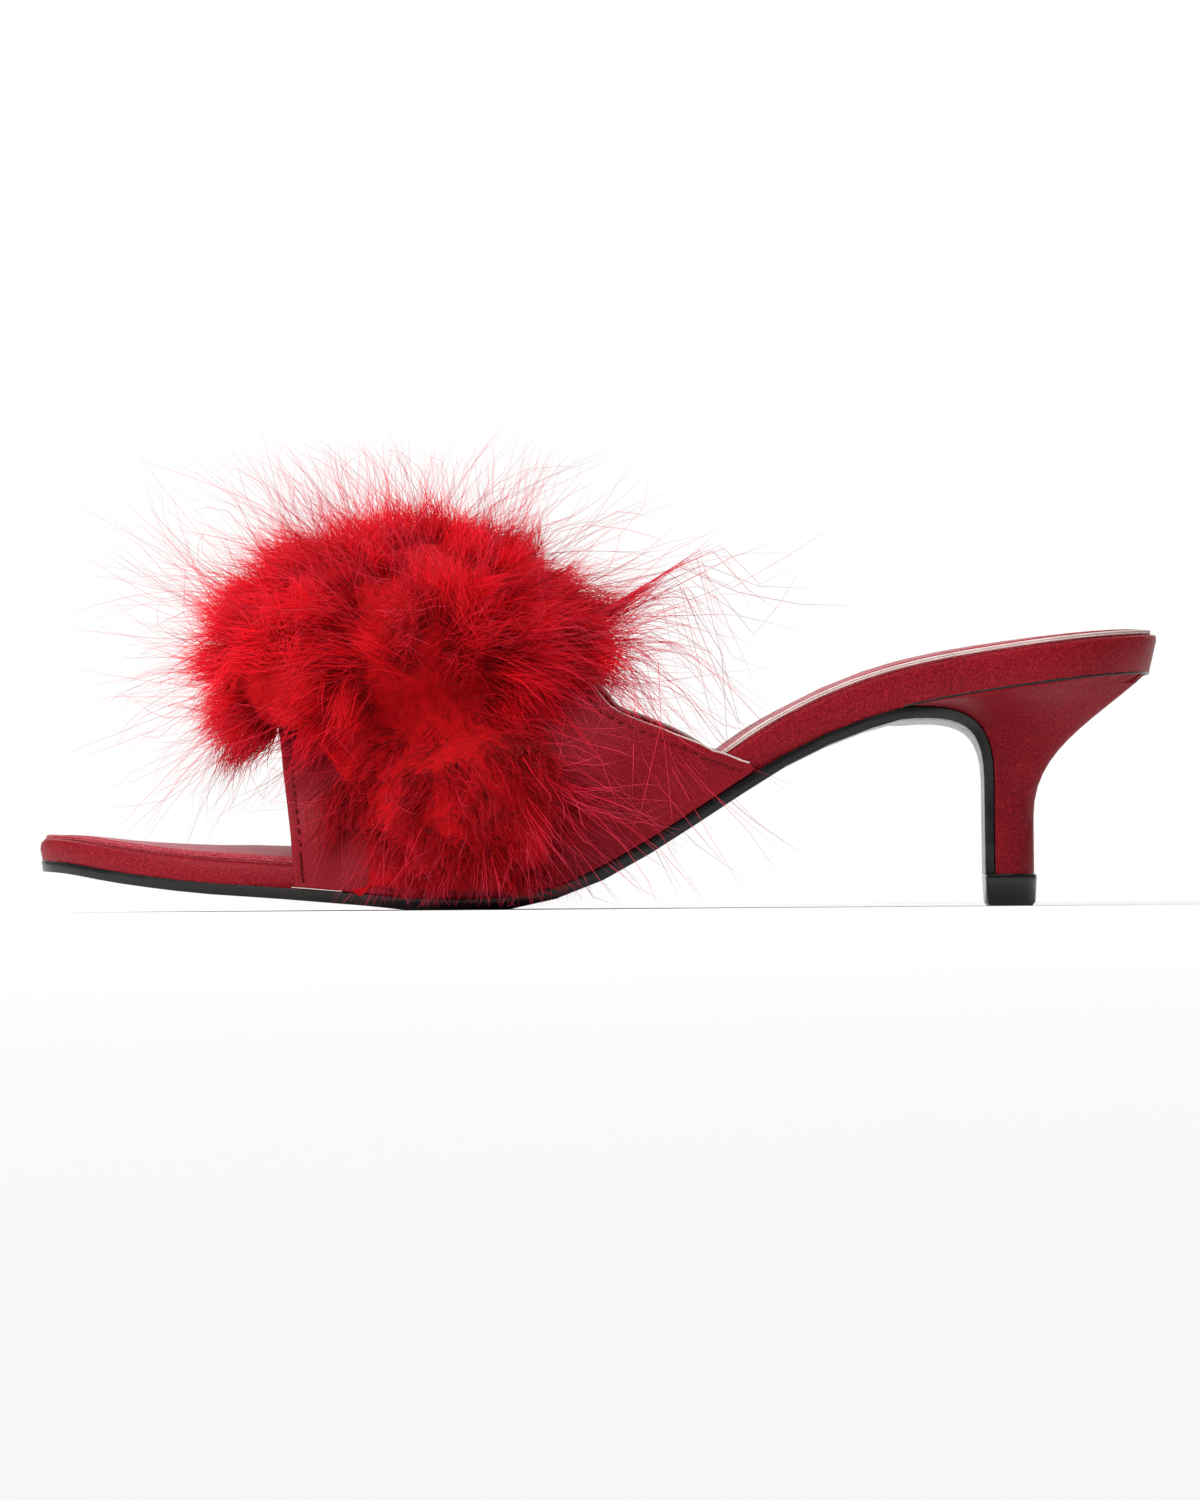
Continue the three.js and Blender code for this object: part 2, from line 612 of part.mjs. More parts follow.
// The pompom: a strip of packed feathers sewn over the upper's outer face, the ball that stands on it, a lobe that
// hangs down each side, and locks that stand out all round.
function makePompom() {
  const firstAround = 0.07;
  const lastAround = 1 - firstAround;
  const ridgeShare = (around) => Math.sin(Math.PI * around) ** 1.5;
  const depthAt = (share, around) =>
    lerp(tuftSideDepth, tuftDepth, ridgeShare(around)) * Math.sqrt(1 - 0.97 * (2 * share - 1) ** 2);
  const place = (share, around, depth) => {
    const reach = lerp(tuftSideReach, tuftReach, ridgeShare(around));
    const along = lerp(tuftSideMiddle, tuftMiddle, ridgeShare(around)) + (2 * share - 1) * reach;
    return upperPoint(along, around).addScaledVector(upperNormal(along, around), depth);
  };
  const arounds = evenly(16, firstAround, lastAround);
  const shares = sections(8, 0, 1);
  const endDepth = (around) => Math.min(1, 0.25 + 8 * Math.min(around - firstAround, lastAround - around));
  const outer = arounds.map((around) =>
    shares.map((share) => place(share, around, 2 * tuftGap + depthAt(share, around) * endDepth(around))),
  );
  const inner = arounds.map((around) => shares.map((share) => place(share, around, -upperWall)));
  let solid = toSolid(walled(outer, inner));

  const ballMiddle = upperPoint(tuftMiddle, 0.5);
  ballMiddle.add(new THREE.Vector3(-ballForward, -ballMiddle.y, ballRise));
  const ball = { middle: ballMiddle, size: new THREE.Vector3(ballLength, ballBreadth, ballHeight), side: 0 };
  const lobes = [0.15, 0.85].map((around) => {
    const middle = upperPoint(tuftSideMiddle, around);
    middle.z -= lobeDrop;
    return { middle, size: new THREE.Vector3(lobeLength, lobeBreadth, lobeHeight), side: Math.sign(around - 0.5) };
  });
  for (const tuft of [ball, ...lobes]) {
    solid = solid.add(toSolid(makeTuft(tuft)));
    fan(tuft.side ? lobeLocks : ballLocks).forEach((direction, i) => {
      const shown = tuft.side ? direction.y * tuft.side > 0.25 && direction.z < 0.75 : direction.z > -0.28;
      if (!shown) return;
      const root = tuftPoint(tuft, direction, 0.78);
      const tip = tuftPoint(tuft, direction, 1);
      const outward = tip.clone().sub(tuft.middle).normalize();
      const length = tip.distanceTo(root) + lockReach * (1 + 0.35 * Math.sin(5.1 * i));
      const width = (tuft.side ? lobeLockWidth : lockWidth) * (1 + 0.15 * Math.sin(3.7 * i));
      solid = solid.add(toSolid(makeLock(root, outward, length, width, length * 0.25)));
    });
  }
  return toGeometry(solid.subtract(toSolid(underUpper())).subtract(toSolid(underFloorGap())));
}

// Materials, from the photographed colours
const satin = (color) => new THREE.MeshStandardMaterial({ color, roughness: 0.42, metalness: 0 });
const materials = {
  outsole: new THREE.MeshStandardMaterial({ color: 0x1b1819, roughness: 0.35, metalness: 0 }),
  footbed: satin(0x8a1a26),
  insole_sock: satin(0x9a2836),
  upper: satin(0x8c1622),
  heel: satin(0x861823),
  heel_tip: new THREE.MeshStandardMaterial({ color: 0x171516, roughness: 0.25, metalness: 0 }),
  pompom: new THREE.MeshStandardMaterial({ color: 0xb40f1c, roughness: 0.85, metalness: 0 }),
};

const makers = {
  outsole: makeOutsole,
  footbed: makeFootbed,
  insole_sock: makeSock,
  upper: makeUpper,
  heel: makeHeel,
  heel_tip: makeHeelTip,
  pompom: makePompom,
};

const slipper = new THREE.Group();
for (const [name, make] of Object.entries(makers)) {
  const mesh = new THREE.Mesh(make(), materials[name]);
  mesh.name = name;
  slipper.add(mesh);
}

// The origin is on the floor under the middle of the whole slipper.
const bounds = new THREE.Box3().setFromObject(slipper);
const middle = bounds.getCenter(new THREE.Vector3());
slipper.position.set(-middle.x, -middle.y, -bounds.min.z);

export default slipper;
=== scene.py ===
import math

import bpy
import numpy as np
from mathutils import Euler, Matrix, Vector


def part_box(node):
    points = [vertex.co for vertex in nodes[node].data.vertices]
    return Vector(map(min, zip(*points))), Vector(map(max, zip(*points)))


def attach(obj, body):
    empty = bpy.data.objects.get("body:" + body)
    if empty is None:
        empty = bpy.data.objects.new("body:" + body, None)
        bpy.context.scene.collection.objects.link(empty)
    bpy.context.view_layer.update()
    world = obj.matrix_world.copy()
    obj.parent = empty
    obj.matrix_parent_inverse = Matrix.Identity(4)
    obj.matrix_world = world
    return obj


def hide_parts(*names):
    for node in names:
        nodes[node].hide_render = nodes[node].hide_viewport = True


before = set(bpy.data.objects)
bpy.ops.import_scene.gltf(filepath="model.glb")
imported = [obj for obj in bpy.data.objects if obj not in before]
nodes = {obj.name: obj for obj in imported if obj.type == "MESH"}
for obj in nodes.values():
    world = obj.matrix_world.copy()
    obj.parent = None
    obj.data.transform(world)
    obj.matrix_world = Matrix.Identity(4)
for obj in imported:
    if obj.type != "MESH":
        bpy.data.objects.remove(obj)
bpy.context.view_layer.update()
mm = 0.001
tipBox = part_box("heel_tip")
sideShift = (tipBox[0].y + tipBox[1].y) / 2 / mm  # the shoe's long axis lies this far beside the frame's
print("frame loaded:", ", ".join(sorted(nodes)))

# The shoe's own sizes in millimetres. Rows run from the toe, 0, to the back of the heel, 1.
shoe = {
    "soleLength": 238,
    "ballWidth": 78,
    "heelLift": 47.5,
    "toeSpring": 9,
    "toeRound": 26,
    "heelRound": 27,
    "underBed": 2.45,  # sole and glue under the footbed
    "toeBedThickness": 4.6,
    "seatBedThickness": 7.6,
    "toeNoseRound": 2.4,
    "archLift": 2,
    "waist": 0.62,
    "waistReach": 0.2,
    "wall": 1.6,
    "glue": 0.3,
    "skirt": 2.6,
    "skirtShare": 0.09,
    "instepHeight": 54,
    "ridgeLean": 4,
}
# along, centre line, half width, toe spring, heel rise, sock padding
soleRows = (
    (0, 0.07, 0.19, 1, 0, 0),
    (0.03, 0.067, 0.228, 0.925, 0, 0.05),
    (0.08, 0.059, 0.297, 0.69, 0, 0.25),
    (0.15, 0.044, 0.391, 0.45, 0, 0.65),
    (0.22, 0.026, 0.453, 0.31, 0, 1),
    (0.3, 0.008, 0.492, 0.13, 0, 1),
    (0.36, -0.004, 0.5, 0, 0, 1),
    (0.42, -0.013, 0.48, 0, 0.006, 0.95),
    (0.48, -0.019, 0.436, 0, 0.08, 0.85),
    (0.54, -0.024, 0.39, 0, 0.235, 0.75),
    (0.6, -0.026, 0.354, 0, 0.425, 0.6),
    (0.66, -0.024, 0.335, 0, 0.615, 0.5),
    (0.72, -0.019, 0.331, 0, 0.753, 0.5),
    (0.78, -0.012, 0.338, 0, 0.84, 0.5),
    (0.86, -0.003, 0.351, 0, 0.908, 0.45),
    (0.93, 0, 0.351, 0, 0.954, 0.35),
    (1, 0, 0.346, 0, 0.99, 0),
)
# along, height of the ridge, how square its cross-section is
ridgeRows = (
    (0.1, 0.5, 2.5),
    (0.21, 0.65, 2.4),
    (0.3, 0.8, 2.25),
    (0.38, 0.92, 2.1),
    (0.47, 0.99, 2),
    (0.66, 1, 2),
)
# way round the foot from the outer side, 0, over the ridge, 0.5, to the inner side, 1; front edge, back edge
edgeRows = (
    (0, 0.238, 0.636),
    (0.015, 0.238, 0.634),
    (0.035, 0.237, 0.625),
    (0.08, 0.236, 0.606),
    (0.106, 0.235, 0.592),
    (0.153, 0.232, 0.562),
    (0.25, 0.226, 0.506),
    (0.5, 0.215, 0.456),
    (0.753, 0.224, 0.515),
    (0.805, 0.228, 0.544),
    (0.844, 0.232, 0.567),
    (0.886, 0.235, 0.59),
    (0.95, 0.238, 0.622),
    (1, 0.24, 0.642),
)


def clamp(value, low=0.0, high=1.0):
    return max(low, min(high, value))


def mix(a, b, share):
    return a + (b - a) * share


def ease(value, low=0.0, high=1.0):
    t = clamp((value - low) / (high - low))
    return t * t * (3 - 2 * t)


def readRow(rows, column, at):
    # a smooth curve through one column of a table
    last = len(rows) - 1
    i = 0
    while i < last - 1 and rows[i + 1][0] <= at:
        i += 1

    def slope(k):
        before, after = rows[max(k - 1, 0)], rows[min(k + 1, last)]
        return (after[column] - before[column]) / (after[0] - before[0])

    span = rows[i + 1][0] - rows[i][0]
    t = clamp((at - rows[i][0]) / span)
    bend = (slope(i) * (1 - t) - slope(i + 1) * t) * span
    return mix(rows[i][column], rows[i + 1][column], t * t * (3 - 2 * t)) + t * (1 - t) * bend


def closing(distance, length):
    return math.sqrt(1 - clamp(1 - distance / length) ** 2)


def soleCentre(along):
    return readRow(soleRows, 1, along) * shoe["ballWidth"]


def soleHalf(along):
    fromToe = along * shoe["soleLength"]
    ends = closing(fromToe, shoe["toeRound"]) * closing(shoe["soleLength"] - fromToe, shoe["heelRound"])
    return max(readRow(soleRows, 2, along) * shoe["ballWidth"] * ends, 0.3)


def bedUnder(along, side=0.0):
    hump = math.cos(math.pi / 2 * clamp((along - shoe["waist"]) / shoe["waistReach"], -1, 1)) ** 2
    spring = readRow(soleRows, 3, along) * shoe["toeSpring"]
    rise = readRow(soleRows, 4, along) * shoe["heelLift"]
    return shoe["underBed"] + spring + rise + shoe["archLift"] * hump * clamp(side) ** 2


def bedPitch(along):
    low, high = max(along - 0.004, 0), min(along + 0.004, 1)
    return math.atan2(bedUnder(high) - bedUnder(low), (high - low) * shoe["soleLength"])


def bedOver(along, side=0.0):
    thickness = mix(shoe["toeBedThickness"], shoe["seatBedThickness"], ease(along, 0.4, 0.85))
    roll = shoe["toeNoseRound"] * (1 - closing(along * shoe["soleLength"], shoe["toeNoseRound"]))
    return bedUnder(along, side) + thickness / math.cos(bedPitch(along)) - roll


def upperPoint(along, around, lift=0.0):
    # a point of the upper's outer face, in millimetres, lifted off it along its normal
    share = shoe["skirtShare"]
    wide = soleHalf(along) + shoe["glue"] + shoe["wall"]
    base = mix(bedUnder(along, -1), bedUnder(along, 1), ease(around, 0.3, 0.7))
    skirtHeight = bedOver(along) - bedUnder(along) + shoe["skirt"]
    top = readRow(ridgeRows, 1, along) * shoe["instepHeight"]
    power = 2 / readRow(ridgeRows, 2, along)
    turn = math.pi * clamp((around - share) / (1 - 2 * share))
    cosine = math.cos(turn)
    sine = max(math.sin(turn), 0.0)
    skirt = skirtHeight * min(1, around / share, (1 - around) / share)
    y = soleCentre(along) - wide * math.copysign(abs(cosine) ** power, cosine) + shoe["ridgeLean"] * sine**2
    z = base + skirt + (top - skirtHeight) * sine**power
    point = Vector(((along - 0.5) * shoe["soleLength"], y + sideShift, z))
    return point + upperNormal(along, around) * lift if lift else point


def upperNormal(along, around):
    step = 0.004
    low, high = clamp(around - step), clamp(around + step)
    across = upperPoint(along, high) - upperPoint(along, low)
    lengthwise = upperPoint(along + step, around) - upperPoint(along - step, around)
    return -across.cross(lengthwise).normalized()


def frontEdge(around):
    return readRow(edgeRows, 1, around)


def backEdge(around):
    return readRow(edgeRows, 2, around)


# Small helpers for modelling
def clearSelection():
    if bpy.context.mode != "OBJECT":
        bpy.ops.object.mode_set(mode="OBJECT")
    bpy.ops.object.select_all(action="DESELECT")


def activate(piece):
    clearSelection()
    piece.select_set(True)
    bpy.context.view_layer.objects.active = piece


def addModifier(piece, kind, **settings):
    modifier = piece.modifiers.new(kind.lower(), kind)
    for key, value in settings.items():
        setattr(modifier, key, value)


def applyModifiers(piece):
    activate(piece)
    for modifier in list(piece.modifiers):
        bpy.ops.object.modifier_apply(modifier=modifier.name)


def smoothBySharp(piece, angle=35):
    activate(piece)
    bpy.ops.object.shade_smooth_by_angle(angle=math.radians(angle))


def newPiece(name, mesh):
    piece = bpy.data.objects.new(name, mesh)
    bpy.context.scene.collection.objects.link(piece)
    activate(piece)
    return piece


def editWhole(piece, *steps):
    activate(piece)
    bpy.ops.object.mode_set(mode="EDIT")
    bpy.ops.mesh.select_all(action="SELECT")
    for operator, settings in steps:
        operator(**settings)
    bpy.ops.object.mode_set(mode="OBJECT")


def dress(piece, finish, standsFor=None):
    piece.data.materials.append(finish)
    if standsFor:
        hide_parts(standsFor)
    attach(piece, "root")
    return piece


def copyNode(nodeName, pieceName):
    # a joined-up copy of a CAD node, for finer edges and a cloth or leather finish
    mesh = nodes[nodeName].data.copy()
    mesh.name = pieceName
    mesh.materials.clear()
    piece = newPiece(pieceName, mesh)
    flat, square = math.radians(25), math.radians(50)
    editWhole(
        piece,
        (bpy.ops.mesh.remove_doubles, {"threshold": 0.000004}),
        (bpy.ops.mesh.tris_convert_to_quads, {"face_threshold": flat, "shape_threshold": square}),
    )
    return piece


def roundEdges(piece, width, segments, angle):
    sharp = {"limit_method": "ANGLE", "angle_limit": math.radians(angle), "miter_outer": "MITER_ARC"}
    addModifier(piece, "BEVEL", width=width * mm, segments=segments, **sharp)
    applyModifiers(piece)


def meshPiece(name, points, faces):
    # points in millimetres
    mesh = bpy.data.meshes.new(name)
    mesh.from_pydata([tuple(Vector(p) * mm) for p in points], [], faces)
    mesh.update()
    piece = newPiece(name, mesh)
    editWhole(piece, (bpy.ops.mesh.normals_make_consistent, {"inside": False}))
    return piece


def sweep(name, rings, ring=False):
    # closed outlines with the same number of points, joined one to the next; ring joins the last to the first
    count = len(rings[0])
    points = [p for outline in rings for p in outline]
    faces = []
    steps = len(rings) if ring else len(rings) - 1
    for i in range(steps):
        a, b = i * count, (i + 1) % len(rings) * count
        for k in range(count):
            m = (k + 1) % count
            faces.append((a + k, a + m, b + m, b + k))
    if not ring:
        faces.append(tuple(range(count)))
        faces.append(tuple(range(len(points) - count, len(points)))[::-1])
    return meshPiece(name, points, faces)


# Shader groups. Each puts out only heights, masks and colours that change over the surface.
def addNode(tree, kind, **settings):
    node = tree.nodes.new(kind if kind.startswith("Node") else "ShaderNode" + kind)
    node.location = (220 * len(tree.nodes) - 1200, 0)
    for key, value in settings.items():
        setattr(node, key, value)
    return node


def setSockets(node, **values):
    for key, value in values.items():
        node.inputs[key.replace("_", " ")].default_value = value


def wire(tree, *wires):
    # each wire names a node and its output, then a node and its input
    for source, output, sink, entry in wires:
        tree.links.new(source.outputs[output], sink.inputs[entry])


def newGroup(name, inputs, outputs):
    tree = bpy.data.node_groups.new(name, "ShaderNodeTree")
    for socketName, kind, value in inputs:
        socket = tree.interface.new_socket(name=socketName, in_out="INPUT", socket_type=kind)
        if value is not None:
            socket.default_value = value
    for socketName, kind in outputs:
        tree.interface.new_socket(name=socketName, in_out="OUTPUT", socket_type=kind)
    return tree, addNode(tree, "NodeGroupInput"), addNode(tree, "NodeGroupOutput")


def buildSatinGroup():
    # fine threads with a slight slub, a speckle mask for painted glints where the floats of the weave catch
    # the light, and broad unevenness
    floatSocket, vectorSocket = "NodeSocketFloat", "NodeSocketVector"
    tree, source, sink = newGroup(
        "satinWeave",
        [
            ("Vector", vectorSocket, None),
            ("Thread Scale", floatSocket, 3600.0),
            ("Speckle Scale", floatSocket, 2400.0),
            ("Cloud Scale", floatSocket, 70.0),
        ],
        [("Height", floatSocket), ("Speckle", floatSocket), ("Cloud", floatSocket)],
    )
    warp = addNode(tree, "Mapping")
    setSockets(warp, Scale=(0.1, 1, 1))
    weft = addNode(tree, "Mapping")
    setSockets(weft, Scale=(1, 0.14, 0.14))
    warpNoise = addNode(tree, "TexNoise")
    weftNoise = addNode(tree, "TexNoise")
    speckle = addNode(tree, "TexNoise")
    cloud = addNode(tree, "TexNoise")
    for noise, detail in ((warpNoise, 2), (weftNoise, 2), (speckle, 3), (cloud, 4)):
        setSockets(noise, Detail=detail)
    for mapping, noise in ((warp, warpNoise), (weft, weftNoise)):
        wire(
            tree,
            (source, "Vector", mapping, "Vector"), (mapping, "Vector", noise, "Vector"),
            (source, "Thread Scale", noise, "Scale"),
        )
    wire(
        tree,
        (source, "Vector", speckle, "Vector"), (source, "Speckle Scale", speckle, "Scale"),
        (source, "Vector", cloud, "Vector"), (source, "Cloud Scale", cloud, "Scale"),
    )
    weftPart = addNode(tree, "Math", operation="MULTIPLY")
    weftPart.inputs[1].default_value = 0.45
    threads = addNode(tree, "Math", operation="ADD")
    specklePart = addNode(tree, "Math", operation="MULTIPLY")
    specklePart.inputs[1].default_value = 0.6
    height = addNode(tree, "Math", operation="ADD")
    sharpSpeckle = addNode(tree, "MapRange")
    setSockets(sharpSpeckle, From_Min=0.42, From_Max=0.66)
    wire(
        tree,
        (weftNoise, "Fac", weftPart, 0), (warpNoise, "Fac", threads, 0),
        (weftPart, "Value", threads, 1), (speckle, "Fac", specklePart, 0),
        (threads, "Value", height, 0), (specklePart, "Value", height, 1),
        (speckle, "Fac", sharpSpeckle, "Value"), (height, "Value", sink, "Height"),
        (sharpSpeckle, "Result", sink, "Speckle"), (cloud, "Fac", sink, "Cloud"),
    )
    return tree


def buildPebbleGroup():
    # moulded or burnished black: fine pits, scuffs and a little dust
    floatSocket, vectorSocket = "NodeSocketFloat", "NodeSocketVector"
    tree, source, sink = newGroup(
        "pebbleAndScuff",
        [
            ("Vector", vectorSocket, None),
            ("Pit Scale", floatSocket, 1500.0),
            ("Scuff Scale", floatSocket, 90.0),
        ],
        [("Height", floatSocket), ("Pits", floatSocket), ("Scuff", floatSocket)],
    )
    pits = addNode(tree, "TexVoronoi", feature="F1")
    grain = addNode(tree, "TexNoise")
    setSockets(grain, Detail=4)
    stretch = addNode(tree, "Mapping")
    setSockets(stretch, Scale=(0.3, 1.6, 1.6))
    scuff = addNode(tree, "TexNoise")
    setSockets(scuff, Detail=6, Roughness=0.7)
    wire(
        tree,
        (source, "Vector", pits, "Vector"), (source, "Vector", grain, "Vector"),
        (source, "Vector", stretch, "Vector"), (stretch, "Vector", scuff, "Vector"),
        (source, "Pit Scale", pits, "Scale"), (source, "Pit Scale", grain, "Scale"),
        (source, "Scuff Scale", scuff, "Scale"),
    )
    pitMask = addNode(tree, "MapRange")
    setSockets(pitMask, From_Min=0.1, From_Max=0.34, To_Min=1, To_Max=0)
    scuffMask = addNode(tree, "MapRange")
    setSockets(scuffMask, From_Min=0.48, From_Max=0.72)
    drop = addNode(tree, "Math", operation="MULTIPLY_ADD")
    drop.inputs[1].default_value = -0.5
    wire(
        tree,
        (pits, "Distance", pitMask, "Value"), (scuff, "Fac", scuffMask, "Value"),
        (pitMask, "Result", drop, 0), (grain, "Fac", drop, 2), (drop, "Value", sink, "Height"),
        (pitMask, "Result", sink, "Pits"), (scuffMask, "Result", sink, "Scuff"),
    )
    return tree


satinGroup = buildSatinGroup()
pebbleGroup = buildPebbleGroup()


def newMaterial(name):
    material = bpy.data.materials.new(name)
    material.use_nodes = True
    tree = material.node_tree
    return material, tree, tree.nodes["Principled BSDF"]


def colour(red, green, blue):
    # 0-255 as seen on screen, turned into the shader's linear values
    def linear(v):
        v /= 255
        return v / 12.92 if v <= 0.04045 else ((v + 0.055) / 1.055) ** 2.4

    return (linear(red), linear(green), linear(blue), 1)


def addBump(tree, shader, source, output, strength, distance):
    bump = addNode(tree, "Bump")
    setSockets(bump, Strength=strength, Distance=distance * mm)
    wire(tree, (source, output, bump, "Height"), (bump, "Normal", shader, "Normal"))


def addRoughness(tree, shader, source, output, low, high):
    rough = addNode(tree, "MapRange")
    setSockets(rough, To_Min=low, To_Max=high)
    wire(tree, (source, output, rough, "Value"), (rough, "Result", shader, "Roughness"))


def addSpots(tree, shader, source, output, share, spotColour):
    # spots of another colour over the base, as far as a mask and its share allow
    amount = addNode(tree, "Math", operation="MULTIPLY")
    amount.inputs[1].default_value = share
    spots = addNode(tree, "Mix", data_type="RGBA", blend_type="MIX")
    setSockets(spots, B=spotColour)
    wire(
        tree,
        (source, output, amount, 0), (amount, "Value", spots, "Factor"),
        (spots, "Result", shader, "Base Color"),
    )
    return spots


def satinMaterial(name, look, uvName=None):
    material, tree, shader = newMaterial(name)
    if uvName:
        place, lay = addNode(tree, "UVMap", uv_map=uvName), "UV"
    else:
        place, lay = addNode(tree, "TexCoord"), "Object"
    weave = addNode(tree, "Group", node_tree=satinGroup)
    setSockets(weave, Thread_Scale=look["threads"], Speckle_Scale=look["speckles"])
    setSockets(weave, Cloud_Scale=look["clouds"])
    tint = addNode(tree, "ValToRGB")
    for stop, position, tone in zip(tint.color_ramp.elements, (0.3, 0.7), ("deep", "bright")):
        stop.position, stop.color = position, look[tone]
    # painted glints: spots of the lighter glint colour where the floats of the weave would catch the light
    spots = addSpots(tree, shader, weave, "Speckle", look["paintedGlintShare"], look["glint"])
    wire(
        tree,
        (place, lay, weave, "Vector"), (weave, "Cloud", tint, "Fac"), (tint, "Color", spots, "A"),
    )
    addRoughness(tree, shader, weave, "Cloud", look["roughness"] - 0.06, look["roughness"] + 0.06)
    addBump(tree, shader, weave, "Height", look["bump"], 0.12)
    setSockets(shader, Sheen_Weight=look["sheen"], Sheen_Roughness=0.32, Sheen_Tint=look["sheenTint"])
    setSockets(shader, Specular_IOR_Level=look["shine"], Specular_Tint=look["gloss"], Anisotropic=0.35)
    return material


def blackMaterial(name, look):
    material, tree, shader = newMaterial(name)
    place = addNode(tree, "TexCoord")
    pebble = addNode(tree, "Group", node_tree=pebbleGroup)
    setSockets(pebble, Pit_Scale=look["pits"], Scuff_Scale=look["scuffs"])
    wire(tree, (place, "Object", pebble, "Vector"))
    dust = addSpots(tree, shader, pebble, "Scuff", look["dustShare"], look["dust"])
    setSockets(dust, A=look["base"])
    addRoughness(tree, shader, pebble, "Scuff", look["roughness"], look["roughness"] + 0.18)
    addBump(tree, shader, pebble, "Height", look["bump"], 0.15)
    setSockets(shader, Coat_Weight=look["coat"], Coat_Roughness=0.12, Specular_IOR_Level=0.3)
    return material


redSatin = {
    "threads": 3800,
    "speckles": 2400,
    "clouds": 60,
    "deep": colour(112, 9, 21),
    "bright": colour(128, 13, 26),
    "glint": colour(184, 40, 54),
    "paintedGlintShare": 0.55,
    "roughness": 0.42,
    "bump": 0.45,
    "sheen": 0.05,
    "sheenTint": (1, 0.45, 0.5, 1),
    "gloss": (1, 0.42, 0.46, 1),
    "shine": 0.24,
}
# the same red satin as the rest, painted lighter and pinker with pink glints: painted sheen where the sock's
# top catches the light at a grazing angle
sockSatinPaintedSheen = dict(
    redSatin,
    deep=colour(150, 34, 46),
    bright=colour(168, 44, 56),
    glint=colour(214, 110, 122),
    sheen=0.5,
    sheenTint=(1, 0.62, 0.66, 1),
)
liningCloth = dict(
    redSatin,
    deep=colour(96, 14, 22),
    bright=colour(112, 18, 26),
    paintedGlintShare=0.12,
    sheen=0.1,
)
blackLeather = {
    "pits": 1600,
    "scuffs": 120,
    "base": colour(9, 8, 8),
    "dust": colour(38, 34, 35),
    "dustShare": 0.35,
    "roughness": 0.26,
    "bump": 0.22,
    "coat": 0.2,
}
blackTip = dict(blackLeather, pits=900, bump=0.06, roughness=0.16, coat=0.5, dustShare=0.05)
creamEdge = dict(
    redSatin,
    threads=3000,
    speckles=3000,
    clouds=200,
    deep=colour(212, 196, 190),
    bright=colour(232, 220, 214),
    glint=colour(240, 232, 228),
    paintedGlintShare=0.15,
    roughness=0.7,
    bump=0.12,
    sheen=0.0,
    gloss=(1, 1, 1, 1),
    shine=0.3,
)
threadLook = dict(liningCloth, deep=colour(84, 10, 18), bright=colour(104, 14, 24), paintedGlintShare=0.1)

satin = satinMaterial("redSatin", redSatin)
satinUpper = satinMaterial("redSatinUpper", redSatin, uvName="clothLay")
paintedSheenSockSatin = satinMaterial("sockSatinPaintedSheen", sockSatinPaintedSheen)
lining = satinMaterial("redLining", liningCloth, uvName="clothLay")
cream = satinMaterial("creamCutEdge", creamEdge)
thread = satinMaterial("redThread", threadLook)
leather = blackMaterial("blackSole", blackLeather)
tipFinish = blackMaterial("blackTip", blackTip)
print("materials made")

# The upper: a curved sheet of satin over the ball of the foot, with a wall, rolled edges and soft creases.
upperSizes = {
    "cellsAlong": 84,
    "cellsAround": 190,
    "edgeRound": 0.55,
    "stitchInset": 1.9,
    "topStitchInset": 2.1,
    "stitchDip": 0.12,
    "dipHalf": 0.55,
    "edgePuff": 0.14,
    "puffHalf": 0.7,
    "creaseFree": (3, 10),  # creases start and are whole this far from the front and the back edge
    "sheet": (80, 170),  # rough size of the satin, along and around the foot
}
# creases in the satin: share of the way from front to back edge and place around, from one end to the other,
# then the half width and the depth in millimetres
creases = (
    (0.1, 0.03, 0.16, 0.2, 2.6, 0.35),
    (0.78, 0.02, 0.7, 0.16, 3.4, 0.4),
    (0.9, 0.02, 0.86, 0.1, 2.2, 0.3),
    (0.62, 0.015, 0.58, 0.09, 3, 0.3),
    (0.3, 0.2, 0.72, 0.24, 4, 0.45),
    (0.2, 0.36, 0.85, 0.4, 4.5, 0.5),
    (0.15, 0.6, 0.8, 0.56, 4.5, 0.5),
    (0.3, 0.76, 0.75, 0.8, 4, 0.45),
    (0.78, 0.98, 0.7, 0.86, 3.2, 0.4),
    (0.12, 0.97, 0.18, 0.8, 2.6, 0.35),
)


def creaseDepth(share, around):
    width, arc = upperSizes["sheet"]
    total = 0.0
    for fromShare, fromAround, toShare, toAround, half, depth in creases:
        ax, ay = fromShare * width, fromAround * arc
        bx, by = toShare * width, toAround * arc
        px, py = share * width, around * arc
        t = clamp(((px - ax) * (bx - ax) + (py - ay) * (by - ay)) / ((bx - ax) ** 2 + (by - ay) ** 2))
        away = math.hypot(px - mix(ax, bx, t), py - mix(ay, by, t))
        fade = math.sin(math.pi * mix(0.12, 0.88, t))
        dip = math.exp(-((away / half) ** 2))
        swell = 0.45 * math.exp(-(((away - 2 * half) / half) ** 2))
        total -= depth * fade * (dip - swell)
    return total


